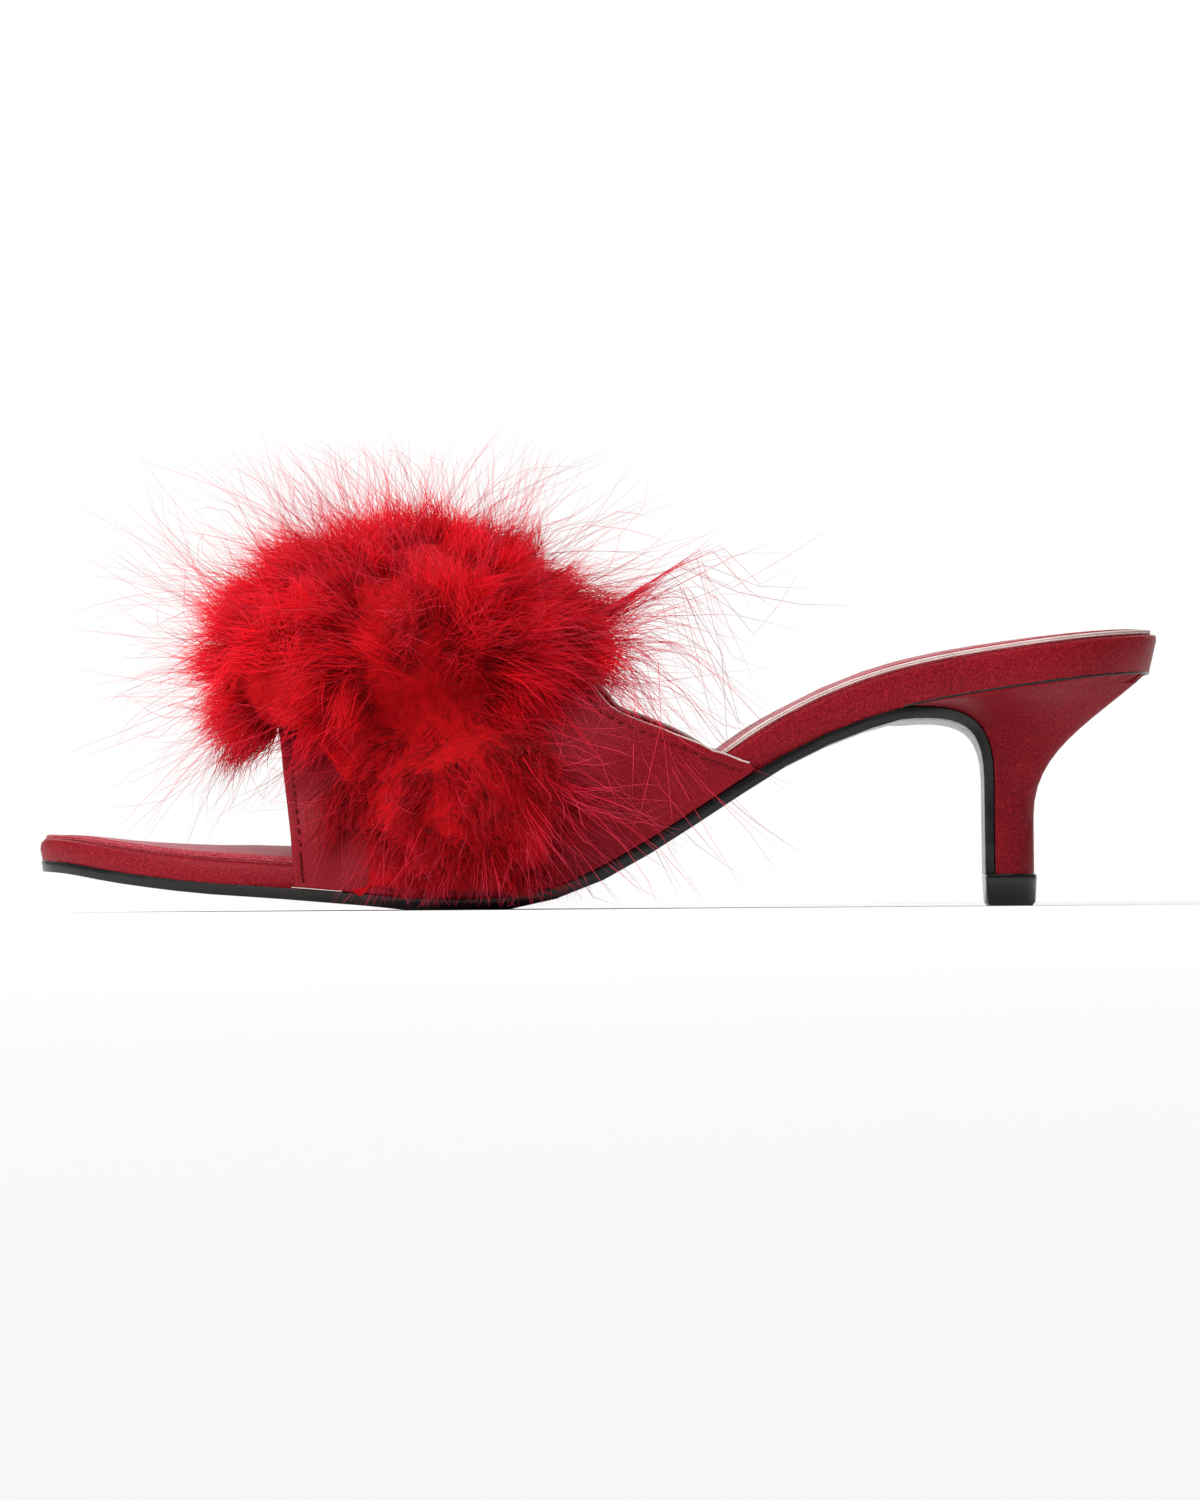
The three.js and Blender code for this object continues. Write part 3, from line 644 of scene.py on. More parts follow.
def makeUpper():
    s = upperSizes
    clearSelection()
    bpy.ops.mesh.primitive_grid_add(x_subdivisions=s["cellsAlong"], y_subdivisions=s["cellsAround"], size=1)
    piece = bpy.context.object
    piece.name = piece.data.name = "satin_upper"
    mesh = piece.data
    uv = mesh.uv_layers[0]
    uv.name = "clothLay"
    arcs = {}
    for vertex in mesh.vertices:
        share, around = vertex.co.x + 0.5, vertex.co.y + 0.5
        front, back = frontEdge(around), backEdge(around)
        along = mix(front, back, share)
        length = (back - front) * shoe["soleLength"]
        fromFront, fromBack = share * length, (1 - share) * length
        lift = creaseDepth(share, around)
        lift *= ease(fromFront, *s["creaseFree"]) * ease(fromBack, *s["creaseFree"])
        for inset, distance in ((s["stitchInset"], fromFront), (s["topStitchInset"], fromBack)):
            lift -= s["stitchDip"] * math.exp(-(((distance - inset) / s["dipHalf"]) ** 2))
            lift += s["edgePuff"] * math.exp(-(((distance - inset * 0.45) / s["puffHalf"]) ** 2))
        settleDown = ease(min(around, 1 - around), 0.0, 0.03)
        vertex.co = upperPoint(along, around, lift * settleDown if settleDown > 0 else 0.0) * mm
        arcs[vertex.index] = ((along - 0.2) * shoe["soleLength"] * mm, around * s["sheet"][1] * mm)
    uv.data.foreach_set("uv", [part for loop in mesh.loops for part in arcs[loop.vertex_index]])
    mesh.update()
    middle = mesh.polygons[len(mesh.polygons) // 2]
    if middle.normal.z < 0:
        editWhole(piece, (bpy.ops.mesh.flip_normals, {}))
    for finish in (satinUpper, lining):
        mesh.materials.append(finish)
    addModifier(piece, "SOLIDIFY", thickness=shoe["wall"] * mm, offset=-1, material_offset=1)
    applyModifiers(piece)
    roundEdges(piece, s["edgeRound"], 3, 55)
    smoothBySharp(piece, 60)
    return piece


upper = makeUpper()
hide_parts("upper")
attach(upper, "root")
print("upper made:", len(upper.data.polygons), "faces")

# Footbed, heel, sole and heel tip keep the CAD's form, with finer edges.
copies = (
    # node, piece, edge's width, segments and angle, how far a glued face is moved into its gap, finish, slot
    ("footbed", "satin_footbed", 0.7, 3, 42, -0.28, satin, "red_satin"),
    ("heel", "satin_heel", 0.45, 2, 48, 0, satin, "red_satin"),
    ("outsole", "black_outsole", 0.35, 2, 48, 0, leather, "black_sole"),
    ("heel_tip", "gloss_heel_tip", 0.3, 2, 40, 0.32, tipFinish, "black_tip"),
    ("insole_sock", "padded_sock", 0.2, 2, 55, -0.3, paintedSheenSockSatin, "sock_satin"),
)
for nodeName, pieceName, width, segments, angle, joint, finish, slotName in copies:
    piece = copyNode(nodeName, pieceName)
    roundEdges(piece, width, segments, angle)
    for vertex in piece.data.vertices:
        if vertex.normal.z * joint > 0.15 * abs(joint) > 0:
            vertex.co.z += joint * mm
    smoothBySharp(piece, 50)
    dress(piece, finish, nodeName)
    print(pieceName, "made:", len(piece.data.polygons), "faces")


# Rows of stitches: each a short thread with rounded ends, a little aslant
def stitchRow(name, path, stitch):
    # path gives the point, the way along the seam and the normal at a distance share from 0 to 1
    points, faces = [], []
    sides, shares = 6, (0.0, 0.16, 0.5, 0.84, 1.0)
    rounds = (0.35, 0.85, 1.0, 0.85, 0.35)
    total = sum((path(i / 60)[0] - path((i + 1) / 60)[0]).length for i in range(60))
    count = int(total / (stitch["length"] + stitch["gap"]))
    for i in range(count):
        origin, way, normal = path((i + 0.5) / count)
        side = normal.cross(way).normalized()
        way = (way + side * stitch["slant"]).normalized()
        side = normal.cross(way).normalized()
        first = len(points)
        for share, fat in zip(shares, rounds):
            arch = math.sin(math.pi * share) * stitch["radius"] * 0.9 - stitch["radius"] * 0.45
            centre = origin + way * (share - 0.5) * stitch["length"] + normal * arch
            for k in range(sides):
                turn = 2 * math.pi * k / sides
                reach = stitch["radius"] * fat
                points.append(centre + (side * math.cos(turn) + normal * math.sin(turn)) * reach)
        for r in range(len(shares) - 1):
            a, b = first + r * sides, first + (r + 1) * sides
            faces += [(a + k, a + (k + 1) % sides, b + (k + 1) % sides, b + k) for k in range(sides)]
        faces.append(tuple(range(first, first + sides)))
        faces.append(tuple(range(len(points) - sides, len(points)))[::-1])
    piece = meshPiece(name, points, faces)
    activate(piece)
    bpy.ops.object.shade_smooth()
    return dress(piece, thread)


def upperPath(edge, inset, lift):
    def path(share):
        around = mix(0.012, 0.988, share)
        sign = 1 if edge is frontEdge else -1

        def at(turn):
            return upperPoint(edge(turn) + sign * inset / shoe["soleLength"], turn, lift)

        way = (at(min(around + 0.003, 1)) - at(max(around - 0.003, 0))).normalized()
        return at(around), way, upperNormal(edge(around), around)

    return path


stitchSizes = {"length": 1.45, "gap": 0.55, "radius": 0.24, "slant": 0.16}
stitchRow("front_stitches", upperPath(frontEdge, upperSizes["stitchInset"], 0.02), stitchSizes)
stitchRow("topline_stitches", upperPath(backEdge, upperSizes["topStitchInset"], 0.02), stitchSizes)
print("stitches made")

# Cut edges that show cream: the lining along the topline, and the glued foot of the upper at the toe
toplineSizes = {"thickness": 0.42, "proud": 0.42, "depth": 1.4, "inset": 0.95}


def makeToplineEdge():
    s = toplineSizes
    rings = []
    for i in range(121):
        around = mix(0.02, 0.98, i / 120)
        along = backEdge(around)
        point = upperPoint(along, around)
        normal = upperNormal(along, around)
        inside = upperPoint(along - 0.012, around)
        out = (point - inside).normalized()
        out = (out - normal * out.dot(normal)).normalized()
        middle = point - normal * s["inset"]
        half = s["thickness"] / 2
        section = (
            (-half, -s["depth"]), (half, -s["depth"]), (half, s["proud"] * 0.6),
            (half * 0.5, s["proud"]), (-half * 0.5, s["proud"]), (-half, s["proud"] * 0.6),
        )
        rings.append([middle + normal * a + out * b for a, b in section])
    piece = sweep("topline_lining_edge", rings)
    smoothBySharp(piece, 60)
    return dress(piece, cream)


makeToplineEdge()

sockSizes = {
    "inset": 1.5,
    "proud": 0.28,
    "bead": 0.22,
    "pitch": 0.48,
    "creamFrom": -8,
    "rimLength": 480,
    "thinOver": 12,
    "thinned": 0.45,
    "rings": 260,
    "foot": 0.8,  # how far the edge reaches in under the sock
}


def noseSink(x):
    # at the toe the sock thins out into the footbed
    return 0.5 * ease(-x, 102, 116)


def insetRim(along, side, inset):
    # a point of the footbed's outline, drawn in by the inset: x, y and the share of the length where it lies
    x = (along - 0.5) * (shoe["soleLength"] - 2 * inset)
    y = soleCentre(along) + side * soleHalf(along) * (1 - 2 * inset / shoe["ballWidth"])
    return x, y + sideShift, x / shoe["soleLength"] + 0.5


def sockRim(turn):
    # a point of the sock's upper rim, from a turn of 0 to 1 around the shoe
    t = turn * 2
    side = 1 if t <= 1 else -1
    run = t if t <= 1 else 2 - t
    x, y, at = insetRim(0.5 - 0.5 * math.cos(math.pi * run), side, sockSizes["inset"])
    return Vector((x, y, bedOver(at, side) + shoe["glue"] - noseSink(x)))


def makeSockEdge():
    s = sockSizes
    rings = []
    for i in range(s["rings"]):
        turn = i / s["rings"]
        point = sockRim(turn)
        way = (sockRim((turn + 0.002) % 1) - sockRim((turn - 0.002) % 1)).normalized()
        out = Vector((way.y, -way.x, 0)).normalized()
        if out.dot(Vector((point.x * 0.25, point.y - sideShift, 0))) < 0:
            out = -out
        up = out.cross(way).normalized()
        if up.z < 0:
            up = -up
        fromToe = (0.5 - abs(turn - 0.5)) * s["rimLength"]
        fade = mix(s["thinned"], 1, closing(fromToe, s["thinOver"]))
        section = []
        for level in (0.5, 1.5):
            for angle in (-60, 0, 60):
                a = math.radians(angle)
                height = (level * s["pitch"] + s["bead"] * math.sin(a)) * fade
                section.append((s["proud"] * math.cos(a), height))
        section += [(-s["foot"], 2 * s["pitch"] * fade), (-s["foot"], 0.05)]
        rings.append([point + out * a + up * b for a, b in section])
    piece = sweep("sock_cut_edge", rings, ring=True)
    smoothBySharp(piece, 70)
    dress(piece, cream)
    piece.data.materials.append(paintedSheenSockSatin)
    for face in piece.data.polygons:
        # the satin shows at the toe, and as a fine line between the two cream layers
        cut = face.center.x > s["creamFrom"] * mm and face.index % 8 != 2
        face.material_index = 0 if cut else 1
    return piece


makeSockEdge()
for vertex in bpy.data.objects["padded_sock"].data.vertices:
    vertex.co.z -= noseSink(vertex.co.x / mm) * mm

heelShadeLineSizes = {"from": 0.772, "inset": 1.75, "radius": 0.27, "drop": 0.12}
cementSizes = {"from": 0.236, "to": 0.28, "radius": 0.09}


def tube(name, points, radius, finish):
    rings = []
    for i, point in enumerate(points):
        way = (points[min(i + 1, len(points) - 1)] - points[max(i - 1, 0)]).normalized()
        side = way.cross(Vector((0, 0, 1))).normalized()
        up = side.cross(way)
        turns = [2 * math.pi * k / 8 for k in range(8)]
        rings.append([point + (side * math.cos(t) + up * math.sin(t)) * radius for t in turns])
    piece = sweep(name, rings)
    smoothBySharp(piece, 60)
    return dress(piece, finish)


def makeHeelShadeLine():
    # a black tube in the joint between footbed and heel, round the back of the shoe: painted shade where the
    # groove lies in shadow
    s = heelShadeLineSizes
    points = []
    for i in range(81):
        run = i / 80 * 2
        side = -1 if run <= 1 else 1
        along = mix(s["from"], 1, math.sin(math.pi / 2 * (run if run <= 1 else 2 - run)))
        x, y, at = insetRim(along, side, s["inset"])
        points.append(Vector((x, y, bedUnder(at, side) - s["drop"])))
    return tube("heel_shade_line", points, s["radius"], leather)


def makeCementLine():
    # a little cement shows where the front of the upper meets the sole
    s = cementSizes
    alongs = [mix(s["from"], s["to"], i / 24) for i in range(25)]
    points = [upperPoint(along, 0.0) + Vector((0, 0, -0.02)) for along in alongs]
    return tube("cement_line", points, s["radius"], cream)


makeHeelShadeLine()
makeCementLine()
print("cut edges made")

# The pompom: packed down with plumes all over it, sewn across the instep. Sizes in millimetres.
pompomSizes = {
    "seed": 38,
    "voxel": 1.5,
    "packedUnder": 3.0,  # the packed down lies this far inside the solid's form
    "ball": (40, 49, 27.5),  # half sizes of the ball, and of the lobe that hangs down each side
    "ballPlace": (0.325, 0.5, -2, 6),  # along and around the foot, then back and up from there
    "lobe": (23.5, 18, 23),
    "lobePlaces": ((0.385, 0.15, 0, -3), (0.385, 0.85, 0, -3)),
    "ballTilt": 0.12,
    "packedShare": 0.88,
    "plumes": 450,
    "strandsPerPlume": 70,
    "pieces": 5,
    "topLength": 20,
    "sideLength": 11,
    "outwardShare": 0.42,  # how much shorter the down is where it stands straight out
    "plumeSpread": 5.5,
    "strandWidth": 0.21,
    "wispTufts": 420,
    "wispsPerTuft": 11,
    "wispLength": (12, 40),
    "wispWidth": 0.12,
    "parting": (-31, 42, 40, 16),  # x, half its width over the foot, height at the sides, rise in the middle
    # from one x to the next the down starts to fall over the topline, below the first height, wholly below
    # the second, and above the third
    "rearFall": (-26, -12, 70, 60, 24),
    "fallWay": (0.55, 0, -1.6),
    "fallCrowd": 5,  # how much closer the down stands there
    "lie": (0.5, 0.9),  # how far the down stands up, and how far it lies away from the parting
    "droop": (50, 14, 0.75),  # below this height, over this much, by this much more it hangs
    "looseShare": 0.16,
    "tone": (0.4, 1.0),
    "shadow": (46, 20, 0.8),  # below this height, over this much, by this much darker
    "room": ((-133, -78, 0.4), (133, 78, 98.5)),
    "lowestDown": 2.0,
    "gap": 0.7,  # between down and upper
    "upperSpan": (0.215, 0.62),  # where along the shoe the upper is
}


def strandPiece(name, paths, widths, tones, finish):
    # paths are strands x points x 3, in millimetres
    # each strand is a closed three-sided thread with a pointed tip
    count, steps, _ = paths.shape
    rings = steps - 1
    tangents = np.gradient(paths, axis=1)
    tangents /= np.linalg.norm(tangents, axis=2, keepdims=True) + 1e-9
    whole = paths[:, -1] - paths[:, 0]
    helper = np.cross(whole, np.roll(whole, 1, axis=1) + 0.37)
    helper /= np.linalg.norm(helper, axis=1, keepdims=True) + 1e-9
    side = np.cross(tangents, helper[:, None, :])
    side /= np.linalg.norm(side, axis=2, keepdims=True) + 1e-9
    other = np.cross(tangents, side)
    perStrand = 3 * rings + 1
    points = np.zeros((count, perStrand, 3))
    for k in range(3):
        angle = 2 * math.pi * k / 3
        offset = side[:, :rings] * math.cos(angle) + other[:, :rings] * math.sin(angle)
        points[:, k : 3 * rings : 3] = paths[:, :rings] + offset * widths[:, :rings, None] / 2
    points[:, -1] = paths[:, -1]
    quads, triangles = [], [(2, 1, 0)]
    for r in range(rings - 1):
        for k in range(3):
            m = (k + 1) % 3
            quads.append((3 * r + k, 3 * r + m, 3 * r + 3 + m, 3 * r + 3 + k))
    top = 3 * (rings - 1)
    triangles += [(top + k, top + (k + 1) % 3, perStrand - 1) for k in range(3)]
    bases = np.arange(count)[:, None, None] * perStrand
    quadLoops = (np.array(quads)[None] + bases).reshape(-1)
    triangleLoops = (np.array(triangles)[None] + bases).reshape(-1)
    loops = np.concatenate([quadLoops, triangleLoops]).astype(np.int32)
    sizes = np.concatenate([np.full(count * len(quads), 4), np.full(count * len(triangles), 3)])
    starts = np.concatenate([[0], np.cumsum(sizes)[:-1]]).astype(np.int32)
    mesh = bpy.data.meshes.new(name)
    mesh.vertices.add(count * perStrand)
    mesh.vertices.foreach_set("co", (points * mm).astype(np.float32).reshape(-1))
    mesh.loops.add(len(loops))
    mesh.loops.foreach_set("vertex_index", loops)
    mesh.polygons.add(len(sizes))
    mesh.polygons.foreach_set("loop_start", starts)
    rise = np.concatenate([np.repeat(np.arange(rings) / rings, 3), [1.0]])
    uvPoints = np.zeros((count, perStrand, 2))
    uvPoints[:, :, 0] = rise[None]
    uvPoints[:, :, 1] = tones[:, None]
    layer = mesh.uv_layers.new(name="strandLay")
    layer.data.foreach_set("uv", uvPoints.reshape(-1, 2)[loops].astype(np.float32).reshape(-1))
    mesh.update(calc_edges=True)
    mesh.validate()
    piece = newPiece(name, mesh)
    bpy.ops.object.shade_smooth()
    return dress(piece, finish, "pompom")


def featherMaterial(name, look):
    material, tree, shader = newMaterial(name)
    lay = addNode(tree, "UVMap", uv_map="strandLay")
    split = addNode(tree, "SeparateXYZ")
    # along each strand: darker towards the root, as painted shade deep in the down, and lighter, pinker
    # towards the tip, as painted light through the thin barbs
    rise = addNode(tree, "ValToRGB")
    ramp = rise.color_ramp
    ramp.elements[0].position = 0.1
    ramp.elements[0].color = look["root"]
    ramp.elements[1].position = 0.95
    ramp.elements[1].color = look["tip"]
    ramp.elements.new(0.55).color = look["middle"]
    tone = addNode(tree, "MapRange")
    setSockets(tone, To_Min=look["toneLow"], To_Max=look["toneHigh"])
    shade = addNode(tree, "VectorMath", operation="SCALE")
    wire(
        tree,
        (lay, "UV", split, "Vector"), (split, "X", rise, "Fac"), (split, "Y", tone, "Value"),
        (rise, "Color", shade, 0), (tone, "Result", shade, "Scale"),
        (shade, "Vector", shader, "Base Color"),
    )
    setSockets(shader, Roughness=0.65, Specular_IOR_Level=0.12, Specular_Tint=(1, 0.4, 0.45, 1))
    setSockets(shader, Sheen_Weight=0.1, Sheen_Roughness=0.5, Sheen_Tint=(1, 0.25, 0.3, 1))
    return material


featherLook = {
    "root": colour(140, 4, 10),
    "middle": colour(216, 12, 24),
    "tip": colour(234, 34, 52),
    "toneLow": 0.6,
    "toneHigh": 1.6,
}
feather = featherMaterial("redDown", featherLook)
# the wisps lighter and pinker still: painted light where the white behind shows through the thin single barbs
wispLook = dict(featherLook, root=colour(200, 16, 34), middle=colour(224, 34, 58), tip=colour(238, 76, 106))
wispFinish = featherMaterial("redWisp", wispLook)


def unit(v):
    return v / (np.linalg.norm(v, axis=-1, keepdims=True) + 1e-9)


def roundOff(piece):
    # the packed down has no points of its own: what stands out of the ball and the lobes is drawn in
    s = pompomSizes
    points = np.zeros(3 * len(piece.data.vertices))
    piece.data.vertices.foreach_get("co", points)
    points = points.reshape(-1, 3) / mm
    tufts = [(s["ballPlace"], s["ball"], s["ballTilt"])]
    tufts += [(place, s["lobe"], 0) for place in s["lobePlaces"]]
    centres, reaches = [], []
    for (along, around, back, up), half, tilt in tufts:
        x, y, z = upperPoint(along, around)
        centre = np.array((x + back, sideShift if around == 0.5 else y, z + up))
        local = points - centre
        local[:, 2] -= tilt * local[:, 0]
        centres.append(centre)
        reaches.append(np.linalg.norm(local / half, axis=1))
    reaches = np.array(reaches)
    nearest = reaches.argmin(axis=0)
    reach = reaches.min(axis=0)
    loose = (shoeRadius(points, 8)[0] > 1) & (reach > s["packedShare"])
    drawn = np.where(loose, s["packedShare"] / np.maximum(reach, 0.1), 1)[:, None]
    middle = np.array(centres)[nearest]
    points = middle + (points - middle) * drawn
    points[:, 2] = np.maximum(points[:, 2], s["lowestDown"] + 1)
    piece.data.vertices.foreach_set("co", (points * mm).reshape(-1))
    piece.data.update()


def sectionAt(x):
    # the shoe's cross-section: middle, half width, top of the skirt, ridge and squareness
    rows = []
    for i in range(241):
        along = i / 240
        wide = soleHalf(along) + shoe["glue"] + shoe["wall"]
        ridge = bedUnder(along) + readRow(ridgeRows, 1, along) * shoe["instepHeight"]
        square = readRow(ridgeRows, 2, along)
        skirt = bedOver(along) + shoe["skirt"]
        rows.append((along, soleCentre(along) + sideShift, wide, skirt, ridge, square))
    rows = np.array(rows)
    along = x / shoe["soleLength"] + 0.5
    return along, [np.interp(along, rows[:, 0], rows[:, k]) for k in range(1, 6)]


def shoeRadius(points, gap):
    # 1 on the upper's outer face, less inside it
    x, y, z = points[..., 0], points[..., 1], points[..., 2]
    along, (centre, wide, skirt, ridge, square) = sectionAt(x)
    lean = shoe["ridgeLean"] * np.clip((z - skirt) / (ridge - skirt), 0, 1)
    across = np.abs(y - centre - lean) / (wide + gap)
    rise = np.clip(z - skirt, 0, None) / (ridge - skirt + gap)
    radius = (across**square + rise**square) ** (1 / square)
    first, last = pompomSizes["upperSpan"]
    return np.where((along > first) & (along < last), radius, 2), centre + lean, skirt


def keepOutside(paths):
    radius, middle, skirt = shoeRadius(paths, pompomSizes["gap"])
    z = paths[:, :, 2]
    push = (radius < 1) & (z > skirt - 16)
    swell = np.where(push, 1 / np.maximum(radius, 0.35), 1)
    paths[:, :, 1] = middle + (paths[:, :, 1] - middle) * swell
    paths[:, :, 2] = np.where(z > skirt, skirt + (z - skirt) * swell, z)
    return paths


def holdIn(paths, lowest):
    # strands that would leave the pompom's room are drawn in towards their roots
    low, high = (np.array(corner, dtype=float) for corner in pompomSizes["room"])
    root = paths[:, :1]
    reach = paths - root
    upward = ((high - root[:, 0]) / np.maximum(reach.max(axis=1), 1e-6)).min(axis=1)
    low[2] = lowest
    downward = ((low - root[:, 0]) / np.minimum(reach.min(axis=1), -1e-6)).min(axis=1)
    return root + reach * np.clip(np.minimum(upward, downward), 0.02, 1)[:, None, None]


def partingFlow(points):
    # down lies away from the line where it is sewn on
    x, half, side, rise = pompomSizes["parting"]
    y = np.clip(points[:, 1] - sideShift, -half, half)
    line = np.stack([np.full(len(y), float(x)), y + sideShift, side + rise * (1 - (y / half) ** 2)], axis=1)
    return unit(points - line)


def rearFall(roots):
    # how much a place shares in the down that falls back over the topline
    front, back, top, under, lobeTop = pompomSizes["rearFall"]
    behind = np.clip((roots[:, 0] - front) / (back - front), 0, 1)
    aboveLobe = np.clip((roots[:, 2] - lobeTop) / 8, 0, 1)
    return behind * aboveLobe * np.clip((top - roots[:, 2]) / (top - under), 0, 1)


def placeRoots(rng, core, count, jitter):
    # places on the packed down that face neither the shoe nor the floor, and the way the down lies there
    faces = core.data.polygons
    middles, normals, areas = np.zeros(3 * len(faces)), np.zeros(3 * len(faces)), np.zeros(len(faces))
    faces.foreach_get("center", middles)
    faces.foreach_get("normal", normals)
    faces.foreach_get("area", areas)
    middles = middles.reshape(-1, 3) / mm
    normals = normals.reshape(-1, 3)
    probe = middles + 5 * normals
    hidden = (shoeRadius(probe, 0.5)[0] < 1) | (probe[:, 2] < 1) | (middles[:, 2] < 6)
    areas *= 1 + pompomSizes["fallCrowd"] * rearFall(middles)
    areas[hidden] = 0
    picks = rng.choice(len(areas), size=count, replace=False, p=areas / areas.sum())
    roots, normals = middles[picks], normals[picks]
    flow = partingFlow(roots)
    standing, lying = pompomSizes["lie"]
    below, over, hang = pompomSizes["droop"]
    directions = standing * normals + lying * flow + rng.normal(0, jitter, (count, 3))
    directions += rearFall(roots)[:, None] * np.array(pompomSizes["fallWay"])
    directions[:, 2] -= hang * np.clip((below - roots[:, 2]) / over, 0, 1)
    outward = np.clip((normals * flow).sum(axis=1), 0, 1) * (1 - rearFall(roots))
    return roots - 1.5 * normals, unit(directions), outward


def plumeStrands(rng, root, direction, long, steps):
    s = pompomSizes
    count = s["strandsPerPlume"]
    side = unit(np.cross(direction, rng.normal(0, 1, 3)))
    other = np.cross(direction, side)
    bend = side * rng.normal(0, 0.3) + other * rng.normal(0, 0.3)
    u = np.linspace(0, 1, steps)[None, :, None]
    reach = (long * rng.uniform(0.5, 1.08, count))[:, None, None]
    angle = rng.uniform(0, 2 * math.pi, count)
    disc = np.sqrt(rng.uniform(0, 1, count))
    offset = (np.cos(angle) * disc)[:, None] * side + (np.sin(angle) * disc * 0.6)[:, None] * other
    spread = s["plumeSpread"] * (0.3 + 0.7 * np.sin(np.pi * np.clip(u * 1.1, 0, 1) ** 0.8)) * (1 - 0.2 * u)
    stray = rng.normal(0, 0.12, (count, 1, 3))
    loose = rng.random((count, 1, 1)) < s["looseShare"]
    stray = stray + loose * rng.normal(0, 0.4, (count, 1, 3))
    curl = rng.normal(0, 0.05, (count, 1, 3)) * np.sin(u * math.pi * 1.6 + rng.uniform(0, 6, (count, 1, 1)))
    sag = np.array((0, 0, -0.16))
    line = u * direction + bend * u**2 + sag * u**2 + stray * u**1.6 + curl * u
    return root + rng.normal(0, 0.9, (count, 1, 3)) + reach * line + offset[:, None, :] * spread


def makeDown(rng, core):
    s = pompomSizes
    steps = 5
    roots, directions, outward = placeRoots(rng, core, s["plumes"], 0.25)
    below, over, darker = s["shadow"]
    batches, tones = [], []
    for root, direction, straight in zip(roots, directions, outward):
        long = mix(s["sideLength"], s["topLength"], clamp((root[2] - 22) / 30)) * rng.uniform(0.75, 1.15)
        long *= 1 - 0.2 * rearFall(root[None])[0] - s["outwardShare"] * straight
        batches.append(plumeStrands(rng, root, direction, long, steps))
        tone = rng.uniform(*s["tone"]) - darker * clamp((below - root[2]) / over)
        tones.append(np.clip(tone + rng.normal(0, 0.08, s["strandsPerPlume"]), 0, 1))
    taper = 1 - 0.75 * np.linspace(0, 1, steps) ** 1.5
    perPiece = math.ceil(len(batches) / s["pieces"])
    for k in range(s["pieces"]):
        paths = np.concatenate(batches[k * perPiece : (k + 1) * perPiece])
        tone = np.concatenate(tones[k * perPiece : (k + 1) * perPiece])
        paths = holdIn(keepOutside(paths), s["lowestDown"])
        widths = s["strandWidth"] * taper[None] * rng.uniform(0.7, 1.2, (len(paths), 1))
        strandPiece(f"pompom_down_{k + 1}", paths, widths, tone, feather)


def makeWisps(rng, core):
    # long single barbs, in loose tufts
    s = pompomSizes
    steps = 7
    each = s["wispsPerTuft"]
    u = np.linspace(0, 1, steps)[None, :, None]
    roots, directions, _ = placeRoots(rng, core, s["wispTufts"], 0.3)
    longs = np.array([mix(*s["wispLength"], rng.random() ** 1.5) for _ in roots])
    longs *= 0.55 + 0.45 * np.clip((roots[:, 2] - 20) / 30, 0, 1) + 0.4 * rearFall(roots)
    bends = rng.normal(0, 0.26, roots.shape)
    falling = np.repeat(rearFall(roots), each)[:, None]
    roots, directions, bends = (np.repeat(values, each, axis=0) for values in (roots, directions, bends))
    count = len(roots)
    roots = roots + rng.normal(0, 1.6, (count, 3))
    directions = unit(directions + rng.normal(0, 0.17, (count, 3)))
    longs = np.repeat(longs, each) * rng.uniform(0.45, 1.2, count)
    bend = (bends + rng.normal(0, 0.14, (count, 3)))[:, None]
    curl = rng.normal(0, 0.06, (count, 1, 3)) * np.sin(u * math.pi * 2 + rng.uniform(0, 6, (count, 1, 1)))
    line = u * directions[:, None] + bend * u**2 + np.array((0, 0, -0.06)) * u**2 + curl * u
    paths = holdIn(keepOutside(roots[:, None] + longs[:, None, None] * line), s["room"][0][2])
    taper = 1 - 0.7 * np.linspace(0, 1, steps)
    widths = s["wispWidth"] * taper[None] * rng.uniform(0.6, 1.25, (count, 1)) * (1 + 0.8 * falling)
    strandPiece("pompom_wisps", paths, widths, rng.random(count), wispFinish)


def makeCore():
    # packed down under the strands, in the solid's form, so that nothing shows through
    s = pompomSizes
    piece = copyNode("pompom", "pompom_core")
    addModifier(piece, "REMESH", mode="VOXEL", voxel_size=s["voxel"] * mm)
    addModifier(piece, "SMOOTH", factor=0.6, iterations=26)
    addModifier(piece, "DISPLACE", mid_level=0, strength=-s["packedUnder"] * mm)
    applyModifiers(piece)
    roundOff(piece)
    addModifier(piece, "SMOOTH", iterations=6)
    applyModifiers(piece)
    bpy.ops.object.shade_smooth()
    material, tree, shader = newMaterial("packedDown")
    place = addNode(tree, "TexCoord")
    fluff = addNode(tree, "TexNoise")
    setSockets(fluff, Scale=420, Detail=6)
    tint = addNode(tree, "ValToRGB")
    for stop, tone in zip(tint.color_ramp.elements, (colour(128, 4, 9), colour(218, 12, 24))):
        stop.color = tone
    wire(
        tree,
        (place, "Object", fluff, "Vector"), (fluff, "Fac", tint, "Fac"),
        (tint, "Color", shader, "Base Color"),
    )
    addBump(tree, shader, fluff, "Fac", 1, 1.2)
    setSockets(shader, Roughness=0.9, Specular_IOR_Level=0.1)
    print("packed down made:", len(piece.data.polygons), "faces")
    return dress(piece, material, "pompom")


featherSeed = np.random.default_rng(pompomSizes["seed"])
core = makeCore()
makeDown(featherSeed, core)
makeWisps(featherSeed, core)
print("pompom made")

